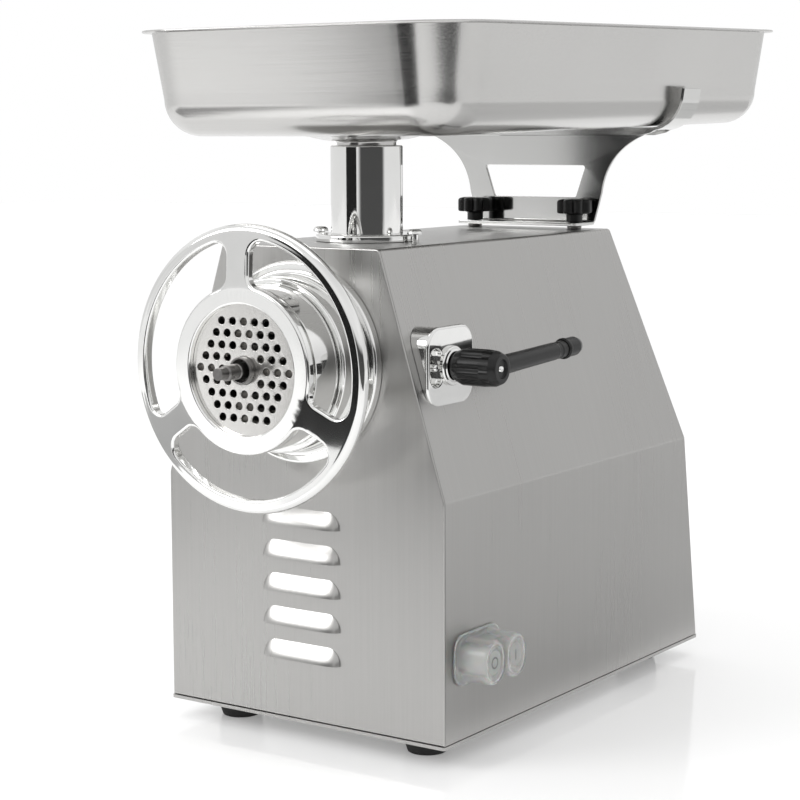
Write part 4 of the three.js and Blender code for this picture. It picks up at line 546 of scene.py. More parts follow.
def front_panel():
    """A sheet with a rounded outer edge, plain edges at its holes, and the louvers' hoods."""
    levels = [BASE_Z + LOUVER_LOWEST + LOUVER_PITCH * i for i in range(LOUVERS)]
    outline = house(0, span("front_panel")[0].z, BEND)
    loops = [outline, circle(0, AXIS_Z, 66, 96, reverse=True)] + [louver_outline(z) for z in levels]

    def place(u, v, side, drop):
        return (u, PANEL_Y + drop if side == 0 else PANEL_Y + SHEET - drop, v)

    outer_steps, hole_steps = rim_steps(1.1, 0.1), [(0, 0, 0), (0, 1, 0)]
    parts = [louver_hood(z) for z in levels]
    for k, loop in enumerate(loops):
        steps = hole_steps if k else outer_steps
        rings = [[place(u, v, side, drop) for u, v in inset_loop(loop, move)] for move, side, drop in steps]
        parts.append(lofted(rings, closed=False))
    for side, (move, _, _) in enumerate((outer_steps[0], outer_steps[-1])):
        verts, faces = cap([inset_loop(outline, move)] + loops[1:])
        parts.append(([place(v.x, v.y, side, 0) for v in verts], faces))
    piece("front_panel_visual", *merged(*parts), "housing", "brushed_steel", "front_panel", smooth=40)


front_panel()


def feet():
    for name in ("foot_front_left", "foot_rear_left", "foot_front_right", "foot_rear_right"):
        lo, hi = span(name)
        wide, top = (hi.x - lo.x) / 2, hi.z
        profile = rounded([
            (0, 0.6), (wide - 8, 0.6), (wide - 7, 0), (wide - 3, 0, 1.2), (wide - 1, 6, 3),
            (wide, top - 2, 1), (wide - 0.4, top, 0.6), (0, top),
        ])
        turned_piece(name, profile, Z, (*centre(name).xy, 0), 96, "black_rubber")


feet()


def gland():
    lo, hi = span("cable_gland")
    middle = centre("cable_gland")
    face = rear_at(middle.z)
    head, neck, bore = 12, 8, 4

    def nut(k, angle, radius, height):
        return radius * (0.88 * hexagon(angle) if 4 <= k <= 7 else 1)

    profile = [
        (bore, lo.y), (neck, lo.y), (neck, face + 2.4), (head * 0.93, face + 3), (head, face + 3.6),
        (head, face + 8), (head * 0.97, face + 9), (neck + 2, face + 9.4), (neck + 1, hi.y - 3),
        (neck - 1, hi.y - 0.6), (neck - 2, hi.y), (bore, hi.y),
    ]
    origin = (middle.x, 0, middle.z)
    turned_piece("cable_gland", profile, Y, origin, 72, "black_plastic", shape=nut, closed=True)


gland()

# ---------------------------------------------------------------- head
NUT_Y = nut_lo.y
NUT_RADIUS = 59.9
RIM_RADIUS = 103.7
RIM_SECTION = 5.4
RIM_Y = NUT_Y + 9.8
WEB_INNER, WEB_OUTER = 58.4, 97.4
DISH = 0.112  # how far the web falls back for each mm outwards
SPOKES, SPOKE_ANGLE, SPOKE_WIDTH, SLOT_FILLET = 3, radians(93), 20, 10


def web_front(r):
    return NUT_Y + DISH * max(0, r - 58.9)


def web_back(r):
    swell = min(1, max(0, (r - 90) / (WEB_OUTER - 90)))
    inner = NUT_Y + 7 + 0.12 * (r - WEB_INNER)
    edge = RIM_Y + sqrt(RIM_SECTION ** 2 - (WEB_OUTER - RIM_RADIUS + RIM_SECTION) ** 2)
    thin = NUT_Y + 7 + 0.12 * (WEB_OUTER - WEB_INNER)
    return inner + (edge - thin) * swell ** 2 * (3 - 2 * swell)


def hand_slot(middle, inner, outer, fillet, count=9):
    """One slot's outline, running clockwise so that the material is on its left."""
    half = pi / SPOKES
    points = []

    def edge(radius):
        return half - asin((SPOKE_WIDTH / 2 + fillet) / radius)

    def arc(u, v, radius, start, end, steps):
        for k in range(steps + 1):
            a = start + (end - start) * k / steps
            points.append((u + radius * cos(a), AXIS_Z + v + radius * sin(a)))

    def corner(radius, side, start, end):
        at = middle + side * edge(radius)
        arc(radius * cos(at), radius * sin(at), fillet, start, end, count)

    low, high = inner + fillet, outer - fillet
    corner(high, -1, middle - half - pi / 2, middle - edge(high))
    arc(0, 0, outer, middle - edge(high), middle + edge(high), 44)
    corner(high, 1, middle + edge(high), middle + half + pi / 2)
    corner(low, 1, middle + half + pi / 2, middle + edge(low) + pi)
    arc(0, 0, inner, middle + edge(low), middle - edge(low), 30)
    corner(low, -1, middle - edge(low) + pi, middle - half + 1.5 * pi)
    clean = [p for i, p in enumerate(points) if (Vector(p) - Vector(points[i - 1])).length > 0.05]
    return clean[::-1]


def ring_nut():
    count = 192
    slots = [
        hand_slot(SPOKE_ANGLE + (2 * i + 1) * pi / SPOKES, NUT_RADIUS + 0.6, 93.3, SLOT_FILLET)
        for i in range(SPOKES)
    ]
    borders = [circle(0, AXIS_Z, r, count) for r in (WEB_OUTER, WEB_INNER)]
    keepers = [inset_loop(slot, 3.2) for slot in slots]
    extra = []
    radius = WEB_INNER + 2.5
    while radius < WEB_OUTER - 1.5:
        ring = circle(0, AXIS_Z, radius, count)
        blocked = np.zeros(count, bool)
        for keeper in keepers:
            blocked |= inside(ring, [keeper])
        extra += [p for p, b in zip(ring, blocked) if not b]
        radius += 2.5
    for slot in slots:
        extra += inset_loop(slot, 2.6)

    def place(u, v, side, drop):
        r = hypot(u, v - AXIS_Z)
        return (u, web_front(r) + drop if side == 0 else web_back(r) - drop, v)

    web = skin(slots, place, rim_steps(2, 1.5, 6), borders, extra)
    first = acos((WEB_OUTER - RIM_RADIUS + RIM_SECTION) / RIM_SECTION)
    rim = [(WEB_OUTER, web_front(WEB_OUTER) - NUT_Y)]
    for k in range(1, 28):
        a = -first + 2 * first * k / 28
        out, back = RIM_SECTION * cos(a), RIM_SECTION * sin(a)
        rim.append((RIM_RADIUS - RIM_SECTION + out, RIM_Y - NUT_Y + back))
    rim.append((WEB_OUTER, web_back(WEB_OUTER) - NUT_Y))
    lip, bore, skirt = 47.2, 54.2, 35.8
    back = web_back(WEB_INNER) - NUT_Y
    hub = rounded([
        (WEB_INNER, 0), (lip, 0, 1.6), (lip, 4), (bore, 4), (bore, skirt, 0.6),
        (NUT_RADIUS, skirt + 0.5, 1.6), (NUT_RADIUS, back + 3, 2.4), (WEB_INNER, back),
    ], steps=6)
    parts = [web]
    for profile in (rim, hub):
        rings = [[(x, NUT_Y + height, z) for x, z in circle(0, AXIS_Z, r, count)] for r, height in profile]
        parts.append(lofted(rings, closed=False))
    piece("ring_nut_visual", *merged(*parts), "ring_nut", "polished_steel", "ring_nut", smooth=50)


ring_nut()


def grinding_plate():
    radius, centre_hole, pitch, rings, hole = 50, 10.2, 10, 4, 3
    loops = [circle(0, AXIS_Z, radius, 96), circle(0, AXIS_Z, centre_hole, 48, reverse=True)]
    for i in range(-rings, rings + 1):
        for j in range(-rings, rings + 1):
            if 1 < max(abs(i), abs(j), abs(i + j)) <= rings:
                u, v = pitch * (i + j / 2), pitch * j * sqrt(3) / 2
                loops.append(circle(u, AXIS_Z + v, hole, 20, reverse=True))

    def place(u, v, side, drop):
        return (u, plate_lo.y + drop if side == 0 else plate_hi.y - drop, v)

    solid = skin(loops, place, rim_steps(0.35, 0.35, 2))
    piece("grinding_plate_visual", *solid, "housing", "satin_steel", "grinding_plate", finish=turned)


grinding_plate()
bush_lo, bush_hi = span("plate_bush")
profile = rounded([
    (8.3, bush_hi.y), (8.3, bush_lo.y, 0.5), (10, bush_lo.y, 0.7), (10, bush_hi.y),
], closed=True)
turned_piece("plate_bush", profile, Y, HEAD, 72, "dark_steel", closed=True)

STUD_TIP = 4.4
STUD, NECK = 5.7, 5
tip, neck = stud_lo.y, plate_lo.y - 12
profile = rounded([
    (0, tip), (STUD_TIP, tip, 0.5), (STUD_TIP, tip + 8, 0.3), (STUD, tip + 8.8, 0.4), (STUD, neck, 0.5),
    (NECK, neck + 0.6, 0.3), (NECK, neck + 2.6, 0.3), (STUD, neck + 3.2, 0.5), (STUD, stud_hi.y, 0.5),
    (0, stud_hi.y),
])
turned_piece("auger_stud", profile, Y, HEAD, 64, "dark_steel", "auger_train")

barrel_lo, barrel_hi = span("barrel")
step_y = nut_hi.y + 0.5
profile = rounded([
    (15.6, barrel_hi.y), (15.6, barrel_hi.y - 8), (50.3, barrel_hi.y - 8, 2), (50.3, barrel_lo.y, 0.5),
    (53.9, barrel_lo.y, 0.8), (53.9, step_y, 0.5), (57.9, step_y, 1), (57.9, barrel_hi.y, 1),
], closed=True)
made = turned_piece("barrel", profile, Y, HEAD, 128, "polished_steel", closed=True)
subtract(made, cylinder(Z, (0, TUBE_Y, 0), TUBE_RADIUS + 2 * SLIP, AXIS_Z, AXIS_Z + 80, 64))

flange_y = collar_hi.y - 7.5
profile = rounded([
    (58.2, collar_hi.y), (58.2, collar_lo.y, 0.5), (64, collar_lo.y, 2), (64, flange_y, 5),
    (74.5, flange_y, 2.5), (74.5, collar_hi.y, 0.6),
], closed=True, steps=8)
turned_piece("head_collar", profile, Y, HEAD, 128, "polished_steel", closed=True)

# ---------------------------------------------------------------- feed tube and its flange
def feed_tube():
    barrel_bore, count = 50.4, 96
    profile = rounded([
        (TUBE_BORE, AXIS_Z), (TUBE_BORE, tube_top, 0.8), (TUBE_RADIUS, tube_top, 1.2), (TUBE_RADIUS, AXIS_Z),
    ])
    verts, faces = revolve(profile, Z, (0, TUBE_Y, 0), count)
    verts = [(x, y, max(z, AXIS_Z + sqrt(max(0, barrel_bore ** 2 - x ** 2)))) for x, y, z in verts]
    last = (len(profile) - 1) * count
    faces += [(i, (i + 1) % count, last + (i + 1) % count, last + i) for i in range(count)]
    piece("feed_tube_visual", verts, faces, "housing", "polished_steel", "feed_tube")


feed_tube()
flange_lo, flange_hi = span("tube_flange")
bore, flange = TUBE_RADIUS + 2 * SLIP, 39
profile = rounded([
    (bore, flange_lo.z), (bore, flange_hi.z, 0.8), (flange, flange_hi.z, 1.6), (flange, flange_lo.z, 0.4),
], closed=True)
turned_piece("tube_flange", profile, Z, (0, TUBE_Y, 0), 96, "polished_steel", closed=True)


def socket_screw(name):
    """A domed screw with a hexagonal socket."""
    lo, hi = span(name)
    seat = flange_hi.z + 0.3
    profile = [(0, hi.z - 2), (2, hi.z - 2), (2.1, hi.z - 0.1), (2.8, hi.z)]
    profile += [(2.8 + 3.2 * sin(a), seat + (hi.z - seat) * cos(a))
                for a in (pi / 2 * k / 8 for k in range(1, 9))]
    profile += [(3, seat), (3, lo.z + 1), (2.4, lo.z), (0, lo.z)]

    def socket(k, angle, radius, height):
        return radius * (0.93 * hexagon(angle) if k in (1, 2) else 1)

    turned_piece(name, profile, Z, (*centre(name).xy, 0), 48, "dark_steel", shape=socket, finish=polished)


socket_screw("flange_screw_left")
socket_screw("flange_screw_right")

# ---------------------------------------------------------------- feed tray
TRAY_WIDTH, TRAY_LENGTH, TRAY_DEPTH, TRAY_SHEET = 311, 546, 80, 2
TRAY_CORNER, TRAY_FLOOR_RADIUS, TRAY_DRAFT, TRAY_RIM, TRAY_OVERHANG = 46, 26, 8, 9.5, 111
TRAY_TILT = radians(1.1)
TRAY_Z = TOP_Z + 81
SPOUT_RADIUS, SPOUT_LENGTH = 22.5, 45
DISH_RADIUS, DISH_DEPTH = 54, 4.5


def tray_loop(inset, z):
    """A rounded rectangle with even corners and divided sides."""
    a = TRAY_WIDTH / 2 - TRAY_RIM - inset
    front = -TRAY_OVERHANG + TRAY_RIM + inset
    back = -TRAY_OVERHANG + TRAY_LENGTH - TRAY_RIM - inset
    radius = max(TRAY_CORNER - inset, 4)
    corners = [(a - radius, back - radius), (radius - a, back - radius), (radius - a, front + radius),
               (a - radius, front + radius)]
    arcs = []
    for quarter, (x, y) in enumerate(corners):
        angles = [(quarter + i / 20) * pi / 2 for i in range(21)]
        arcs.append([(x + radius * cos(angle), y + radius * sin(angle)) for angle in angles])
    points = []
    for k, arc in enumerate(arcs):
        points += arc
        start, end = Vector(arc[-1]), Vector(arcs[(k + 1) % 4][0])
        points += [tuple(start.lerp(end, i / 24)) for i in range(1, 24)]
    return [(x, y, z) for x, y in points]


def tray_side(grow, floor, top):
    """Loops from the floor's edge, round the bend and up to the rim."""
    radius = TRAY_FLOOR_RADIUS + grow
    loops = []
    for i in range(13):
        angle = i / 12 * pi / 2
        inset = TRAY_DRAFT - grow + radius * (1 - sin(angle))
        loops.append(tray_loop(inset, floor + radius * (1 - cos(angle))))
    for i in range(1, 7):
        share = i / 6
        z = floor + radius + (top - floor - radius) * share
        loops.append(tray_loop(TRAY_DRAFT - grow - TRAY_DRAFT * share, z))
    return loops


def tray_floor(edge, level, bore):
    """Loops from the floor's edge to the spout, with a shallow dish round the spout."""
    loops = []
    for i in range(1, 15):
        share = 1 - (1 - i / 14) ** 1.6
        loop = []
        for x, y, _ in edge:
            flat = Vector((x, y))
            p = flat.lerp(flat.normalized() * bore, share)
            t = min(1, max(0, (DISH_RADIUS - p.length) / (DISH_RADIUS - SPOUT_RADIUS - 5)))
            loop.append((p.x, p.y, level - DISH_DEPTH * t * t * (3 - 2 * t)))
        loops.append(loop)
    return loops


def feed_tray():
    shoulder = TRAY_DEPTH - TRAY_SHEET
    outside, inside_loops = tray_side(TRAY_SHEET, 0, shoulder), tray_side(0, TRAY_SHEET, TRAY_DEPTH)
    spout, spout_bore = [], SPOUT_RADIUS - TRAY_SHEET
    end = -SPOUT_LENGTH
    for radius, z in (SPOUT_RADIUS, -DISH_DEPTH - 2), (SPOUT_RADIUS, end), (spout_bore, end):
        ring = [Vector((x, y)).normalized() * radius for x, y, _ in outside[0]]
        spout.append([(p.x, p.y, z) for p in ring])
    under = tray_floor(outside[0], 0, SPOUT_RADIUS + 1.5)
    over = tray_floor(inside_loops[0], TRAY_SHEET, spout_bore)
    edge = [
        tray_loop(inset, TRAY_DEPTH - drop) for inset, drop in (
            (-TRAY_SHEET - 1, TRAY_SHEET + 0.2), (1 - TRAY_RIM, TRAY_SHEET), (0.3 - TRAY_RIM, 1.7),
            (-TRAY_RIM, 1), (0.3 - TRAY_RIM, 0.3), (1 - TRAY_RIM, 0), (-2.4, 0), (-0.9, 0.3), (-0.2, 1.4),
        )
    ]
    loops = outside + edge + inside_loops[:-1][::-1] + over + spout[::-1] + under[::-1]
    verts, faces = lofted(loops)
    tilt = Matrix.Rotation(TRAY_TILT, 3, "X")
    verts = [tilt @ Vector(v) + Vector((0, TUBE_Y, TRAY_Z)) for v in verts]
    piece("feed_tray_visual", verts, faces, "feed_tray", "satin_steel", "feed_tray", smooth=40)


feed_tray()

# ---------------------------------------------------------------- tray bracket, rail, studs and knobs
bracket_lo, bracket_hi = span("tray_bracket")
BRACKET_SHEET = 2.5
FOOT_HALF, NECK_HALF, SPAN_HALF = 59, 65.5, 116


def tray_bracket():
    """A folded sheet: v runs along the foot, round the fold and up the plate."""
    fold = 4
    foot = bracket_hi.y - bracket_lo.y - fold
    turn = pi / 2 * (fold - BRACKET_SHEET / 2)
    rise = bracket_hi.z - bracket_lo.z - fold
    flare = rise + turn + foot - 52

    def wing():
        out = []
        top = foot + turn + rise
        for k in range(17):
            t = k / 16
            x = (1 - t) ** 2 * NECK_HALF + 2 * t * (1 - t) * (NECK_HALF + 5) + t * t * SPAN_HALF
            v = (1 - t) ** 2 * flare + 2 * t * (1 - t) * (top - 13) + t * t * top
            out.append((x, v))
        return out

    half = [(FOOT_HALF - 3, 0), (FOOT_HALF - 0.9, 0.9)] + [(FOOT_HALF, v) for v in (3, foot, foot + turn)]
    half += wing()
    outline = half + [(-x, v) for x, v in half[::-1]]
    low = foot + turn + 23 - fold
    high = low + 27
    window = rounded([(-40.5, low, 2), (-50, high, 2), (50, high, 2), (40.5, low, 2)], closed=True, steps=4)
    loops = [outline, window]
    for name in ("bracket_stud_left", "bracket_stud_right"):
        at = centre(name)
        loops.append(circle(at.x, at.y - bracket_lo.y, SCREW_HOLE + SLIP, 24, reverse=True))
    extra = [(x, foot + turn * k / 6) for k in range(7) for x in range(-57, 58, 3)]

    def place(u, v, side, drop):
        depth = drop if side == 0 else BRACKET_SHEET - drop
        if v <= foot:
            return (u, bracket_lo.y + v, bracket_lo.z + BRACKET_SHEET - depth)
        if v >= foot + turn:
            return (u, bracket_hi.y - BRACKET_SHEET + depth, bracket_lo.z + fold + v - foot - turn)
        a = (v - foot) / turn * pi / 2
        r = fold - BRACKET_SHEET + depth
        return (u, bracket_hi.y - fold + r * sin(a), bracket_lo.z + fold - r * cos(a))

    solid = skin(loops, place, rim_steps(0.35, 0.35, 2), (), extra)
    piece("tray_bracket_visual", *solid, "housing", "brushed_steel", "tray_bracket", finish=bracket_steel)


tray_bracket()
rail_lo, rail_hi = span("tray_rail")


def tray_rail():
    """A channel under the tray whose ends curl up round its walls."""
    bend, hook, lip = TRAY_FLOOR_RADIUS + TRAY_SHEET, 8, 4
    lean = atan2(TRAY_DRAFT, TRAY_DEPTH - bend)
    wall = TRAY_WIDTH / 2 - TRAY_RIM - TRAY_DRAFT + TRAY_SHEET + 6
    bed = rail_lo.z + lip + BRACKET_SHEET
    path = []
    for k in range(25):
        a = k / 24 * (pi / 2 - lean)
        nx, nz = sin(a), -cos(a)
        path.append((wall - bend + bend * nx, bed + bend + bend * nz, nx, nz))
    x, z, nx, nz = path[-1]
    path.append((x + hook * sin(lean), z + hook * cos(lean), nx, nz))
    flat = [(path[0][0] * k / 12, bed, 0, -1) for k in range(12)]
    right = flat + path
    whole = [(-x, z, -nx, nz) for x, z, nx, nz in right[:0:-1]] + right
    loops = []
    y0, y1, s = rail_lo.y, rail_hi.y, BRACKET_SHEET
    for x, z, nx, nz in whole:
        deep = lip * min(1, max(0, (path[0][0] + 4 - abs(x)) / 8)) + 0.02
        low, high = s + deep - 0.3, s + deep
        section = [
            (y0 + 0.4, 0), (y1 - 0.4, 0), (y1, 0.4), (y1, low), (y1 - 0.3, high), (y1 - s + 0.3, high),
            (y1 - s, high - 0.01), (y1 - s - 0.3, s), (y0 + s + 0.3, s), (y0 + s, high - 0.01),
            (y0 + s - 0.3, high), (y0 + 0.3, high), (y0, low), (y0, 0.4),
        ]
        loops.append([(x + nx * d, y, z + nz * d) for y, d in section])
    piece("tray_rail_visual", *bar(loops), "housing", "brushed_steel", "tray_rail", finish=bracket_steel)


tray_rail()


def bracket_stud(name):
    lo, hi = span(name)
    seat, shoulder = TOP_Z + 0.3, bracket_lo.z - 0.3
    profile = [
        (0, lo.z), (2.4, lo.z), (3, lo.z + 0.8), (3, seat), (5.6, seat), (6, seat + 0.4), (6, shoulder - 0.4),
        (5.6, shoulder), (3, shoulder),
    ]
    z = bracket_lo.z + BRACKET_SHEET
    while z < hi.z - 1:
        profile += [(3, z), (2.6, z + 0.4), (3, z + 0.8)]
        z += 1
    profile += [(2.4, hi.z), (0, hi.z)]
    turned_piece(name, profile, Z, (*centre(name).xy, 0), 40, "dark_steel")


bracket_stud("bracket_stud_left")
bracket_stud("bracket_stud_right")


def star_knob(name, body):
    lo, hi = span(name)
    lobes, head = 8, lo.z + 7.5
    profile = rounded([
        (3.6, lo.z), (6.8, lo.z, 0.8), (6.8, head - 0.5, 1.5), (15, head, 1.6), (15, hi.z - 1, 2.4),
        (11, hi.z, 3), (7, hi.z - 0.4, 0.6), (6, hi.z - 1.4, 0.6), (0, hi.z - 1.2),
    ], steps=4)

    def shape(k, angle, radius, height):
        if radius < 8.5:
            return radius
        wave = (0.5 + 0.5 * cos(lobes * angle)) ** 0.55
        return radius - 3.2 * (1 - wave) * (radius - 8.5) / 6.5

    origin = (*centre(name).xy, 0)
    outside = revolve(profile, Z, origin, 160, shape)
    bore = revolve([(3.6, lo.z), (3.6, head + 1), (0, head + 1)], Z, origin, 160)
    piece(name + "_visual", *merged(outside, bore), body, "black_plastic", name)


star_knob("star_knob_left", "knob_left")
star_knob("star_knob_right", "knob_right")

# ---------------------------------------------------------------- clamp lever
pad_lo, pad_hi = span("lock_pad")
LOCK_Y = centre("lock_pad").y
LOCK = (0, LOCK_Y, AXIS_Z)
PAD_FACE = pad_hi.x
POCKET_Y = LOCK_Y - 19
POCKET_DEPTH = 5


def rounded_box(u, v, width, height, radius, steps=8, reverse=False):
    w, h = width / 2, height / 2
    corners = [(u - w, v - h), (u + w, v - h), (u + w, v + h), (u - w, v + h)]
    points = rounded([(*corner, radius) for corner in corners], closed=True, steps=steps)
    return points[::-1] if reverse else points


def lock_pad():
    """A block whose face stands upright on the leaning side, with a pocket beside the clamp screw."""
    outline = rounded_box(LOCK_Y, AXIS_Z, pad_hi.y - pad_lo.y, pad_hi.z - pad_lo.z, 15, 12)
    pocket = rounded_box(POCKET_Y, AXIS_Z, 15, 27, 6, 6, reverse=True)
    floor = PAD_FACE - POCKET_DEPTH
    parts = []
    rim, lip = 2.2, 1.2

    def wall(v):
        """Where the block meets the leaning side."""
        return min(half_width(v) + 0.3, PAD_FACE - rim - 0.1)

    def rounding(loop, radius, steps):
        return [
            [(PAD_FACE - drop, u, v) for u, v in inset_loop(loop, move)]
            for move, _, drop in rim_steps(radius, 0.2, steps)[:steps + 1]
        ]

    parts.append(lofted(rounding(outline, rim, 6) + [[(wall(v), u, v) for u, v in outline]], False))
    bottom = inset_loop(pocket, -0.8)
    sink = [[(floor + 0.8, u, v) for u, v in pocket], [(floor, u, v) for u, v in bottom]]
    parts.append(lofted(rounding(pocket, lip, 4) + sink, False))
    for loops, depth in (
        ([bottom], lambda v: floor),
        ([inset_loop(outline, rim), inset_loop(pocket, lip)], lambda v: PAD_FACE),
        ([outline], wall),
    ):
        verts, faces = cap(loops)
        parts.append(([(depth(v.y), v.x, v.y) for v in verts], faces))
    piece("lock_pad_visual", *merged(*parts), "housing", "polished_steel", "lock_pad", smooth=40)


lock_pad()
pin_lo, pin_hi = span("latch_pin")
profile = [(0, pin_hi.x)]
for k in range(1, 9):
    angle = pi / 2 * k / 8
    profile.append((2.6 * sin(angle), pin_hi.x - 1.6 * (1 - cos(angle))))
profile += [(2.6, pin_lo.x), (0, pin_lo.x)]
turned_piece("latch_pin", profile, X, (0, centre("latch_pin").y, AXIS_Z), 48, "polished_steel")
boss = span("lock_boss")[1].x
profile = rounded([
    (6.6, PAD_FACE - 0.5), (6.6, boss, 0.5), (11, boss, 0.8), (12, boss - 0.8, 0.6), (14.5, boss - 1.2, 1.4),
    (14.5, PAD_FACE - 0.5),
], closed=True)
turned_piece("lock_boss", profile, X, LOCK, 96, "polished_steel", closed=True)

hub_lo, hub_hi = span("lock_hub")
HUB_RADIUS = 13.6
HUB_PROFILE = rounded([
    (6.4, hub_lo.x), (10, hub_lo.x, 1), (11.6, hub_lo.x + 3, 2), (HUB_RADIUS, hub_lo.x + 8, 4),
    (HUB_RADIUS, hub_hi.x - 13, 4), (12.8, hub_hi.x - 5, 3), (10.6, hub_hi.x, 1.6), (7, hub_hi.x, 0.6),
    (6.6, hub_hi.x - 1.6, 0.6), (0, hub_hi.x - 1.6),
], steps=5)


def fluted(k, angle, radius, height):
    start, end = hub_lo.x + 3, hub_hi.x - 7
    along = min(1, max(0, (height - start) / 4)) * min(1, max(0, (end - height) / 6))
    groove = (0.5 + 0.5 * cos(8 * angle)) ** 3
    return radius - 2.1 * groove * along if radius > 7.5 else radius


bore = revolve([(6.4, hub_lo.x), (6.4, hub_lo.x + 12), (0, hub_lo.x + 12)], X, LOCK, 128)
hub = merged(revolve(HUB_PROFILE, X, LOCK, 128, fluted), bore)
piece("lock_hub_visual", *hub, "lock_handle", "black_plastic", "lock_hub")
profile = rounded([(0, hub_hi.x - 0.4), (2, hub_hi.x - 0.4, 0.6), (2.6, hub_hi.x - 1.5), (0, hub_hi.x - 1.5)])
piece("hub_screw_tip", *revolve(profile, X, LOCK, 32), "lock_handle", "dark_steel", finish=polished)

ROD_RISE = radians(2.6)
ROD_DIRECTION = Vector((0, cos(ROD_RISE), sin(ROD_RISE)))
ROD_ORIGIN = (hub_hi.x - 10.5, LOCK_Y, AXIS_Z)
profile = rounded([
    (0, 6), (7.4, 6), (7.4, 12, 1), (7.3, 14, 0.6), (6.9, 40), (6.7, 88, 0.5), (6.2, 90, 0.5), (6.2, 93, 0.5),
    (6.6, 94.5, 0.5), (6.6, 101, 0.4), (0, 101),
])
turned_piece("handle_rod", profile, ROD_DIRECTION, ROD_ORIGIN, 72, "black_plastic", "lock_handle")
profile = rounded([
    (0, 101.3), (7.2, 101.3, 0.5), (8, 102.6, 0.8), (8, 104.6, 0.8), (7.2, 106, 0.6), (7.3, 118, 2),
    (5.6, 123.4, 3), (2, 124.3, 1), (0, 124.3),
])
turned_piece("handle_cap", profile, ROD_DIRECTION, ROD_ORIGIN, 72, "black_plastic", "lock_handle")

# ---------------------------------------------------------------- switch
boot_lo, boot_hi = span("switch_boot")
SWITCH_Y, SWITCH_Z = centre("switch_boot").yz
LOBE_RADIUS, LOBE_STRETCH = 13.7, 2.6
BOOT_WALL = 1.6


def lobe(side, count=64):
    """One rounded lobe with a raised rim round its sunk face."""
    back, face = boot_lo.x + 0.2, boot_hi.x
    profile = rounded([
        (0, back), (LOBE_RADIUS, back), (LOBE_RADIUS, face - 2.5, 3), (LOBE_RADIUS - 1.8, face, 1.4),
        (LOBE_RADIUS - 4, face - 0.2, 1), (LOBE_RADIUS - 5, face - 1.8, 1), (0, face - 1.4),
    ])
    verts, faces = revolve(profile, X, (0, SWITCH_Y + side * LOBE_GAP / 2, SWITCH_Z), count)
    return [(x, y, z + (LOBE_STRETCH if z > SWITCH_Z else -LOBE_STRETCH)) for x, y, z in verts], faces


def slab(loop, low, high):
    return bar([[(x, u, v) for u, v in loop] for x in (low, high)])


def switch_boot():
    """Both lobes and the waist as one moulded skin, open at the back."""
    back, face = boot_lo.x, boot_hi.x
    wide, high = boot_hi.y - boot_lo.y, boot_hi.z - boot_lo.z
    flange = slab(rounded_box(SWITCH_Y, SWITCH_Z, wide, high, 12), back, back + 1.8)
    waist_high = 2 * (LOBE_RADIUS + LOBE_STRETCH) - 4
    waist = slab(rounded_box(SWITCH_Y, SWITCH_Z, LOBE_GAP, waist_high, 1), back, face - 9)
    mesh = mesh_of("boot", *merged(flange, waist, lobe(-1), lobe(1)))
    rough = placed("boot", cleaned(mesh, 1e-6))
    voxels = rough.modifiers.new("voxels", "REMESH")
    voxels.mode, voxels.voxel_size = "VOXEL", 0.55 * MM
    relax = rough.modifiers.new("relax", "SMOOTH")
    relax.factor, relax.iterations = 0.5, 4
    graph = bpy.context.evaluated_depsgraph_get()
    skin_mesh = bpy.data.meshes.new_from_object(rough.evaluated_get(graph))
    bpy.data.objects.remove(rough)
    work = bmesh.new()
    work.from_mesh(skin_mesh)
    limit = (back + 0.45) * MM
    inner = [f for f in work.faces if f.calc_center_median().x < limit and abs(f.normal.x) > 0.7]
    bmesh.ops.delete(work, geom=inner, context="FACES")
    for v in work.verts:
        v.co.x = min(v.co.x, face * MM)
    work.to_mesh(skin_mesh)
    work.free()
    looks = {"smooth": 180, "weighted": False}
    made = dress("switch_boot_visual", skin_mesh, "housing", "clear_silicone", "switch_boot", **looks)
    wall = made.modifiers.new("wall", "SOLIDIFY")
    wall.thickness, wall.offset = BOOT_WALL * MM, -1


switch_boot()


def push_button(name, body, mark):
    lo, hi = span(name)
    at = centre(name)
    origin, radius = (0, at.y, at.z), (hi.y - lo.y) / 2
    profile = rounded([
        (0, lo.x), (radius, lo.x, 0.5), (radius, hi.x - 3, 0.5), (radius - 0.8, hi.x - 1, 1),
        (radius - 2.5, hi.x - 0.4, 1), (0, hi.x - 0.6),
    ])
    turned_piece(name, profile, X, origin, 72, "white_plastic", body)
    low, high = hi.x - 0.7, hi.x - 0.3
    if mark == "O":
        inner, outer = 3.2, 4.4
        strip = [(inner, low), (outer, low), (outer, high), (inner, high)]
        sign = revolve(strip, X, origin, 48, closed=True)
    else:
        sign = slab(rounded_box(at.y, at.z, 1.3, 8, 0.5, 4), low, high)
    piece(name + "_mark", *sign, body, "white_plastic", finish=mark_paint, weighted=False)


push_button("start_button", "start_button", "I")
push_button("stop_button", "stop_button", "O")

# ---------------------------------------------------------------- finishes of the CAD nodes that stay
SLOT_OF = {entry["node"]: entry["material_slot"] for entry in frame["record"]["subparts"]}
SOFT_EDGED = ("rear_cover", "base_plate", "motor_shell", "motor_rear_bell", "gearbox_cover", "gearbox_case")
for name, node in frame["nodes"].items():
    if node.hide_render:
        continue
    # Painted shade: the auger and the cutter knife behind the plate's holes get dark steel in place of their
    # slots' finishes, so that the holes read black.
    finish = dark_steel if name in ("auger", "cutter_knife") else FINISH[SLOT_OF[name]]
    node.data.materials.clear()
    node.data.materials.append(finish)
    if name in SOFT_EDGED:
        edges = node.modifiers.new("edges", "BEVEL")
        edges.width, edges.segments = 0.4 * MM, 2
        edges.limit_method, edges.angle_limit = "ANGLE", radians(50)


# ---------------------------------------------------------------- floor and light
def stage_sheet(name, corners, finish):
    """A flat sheet of the studio, no part of the machine."""
    mesh = bpy.data.meshes.new(name)
    mesh.from_pydata(corners, [], [tuple(range(len(corners)))])
    mesh.materials.append(finish)
    sheet = placed(name, mesh)
    return sheet


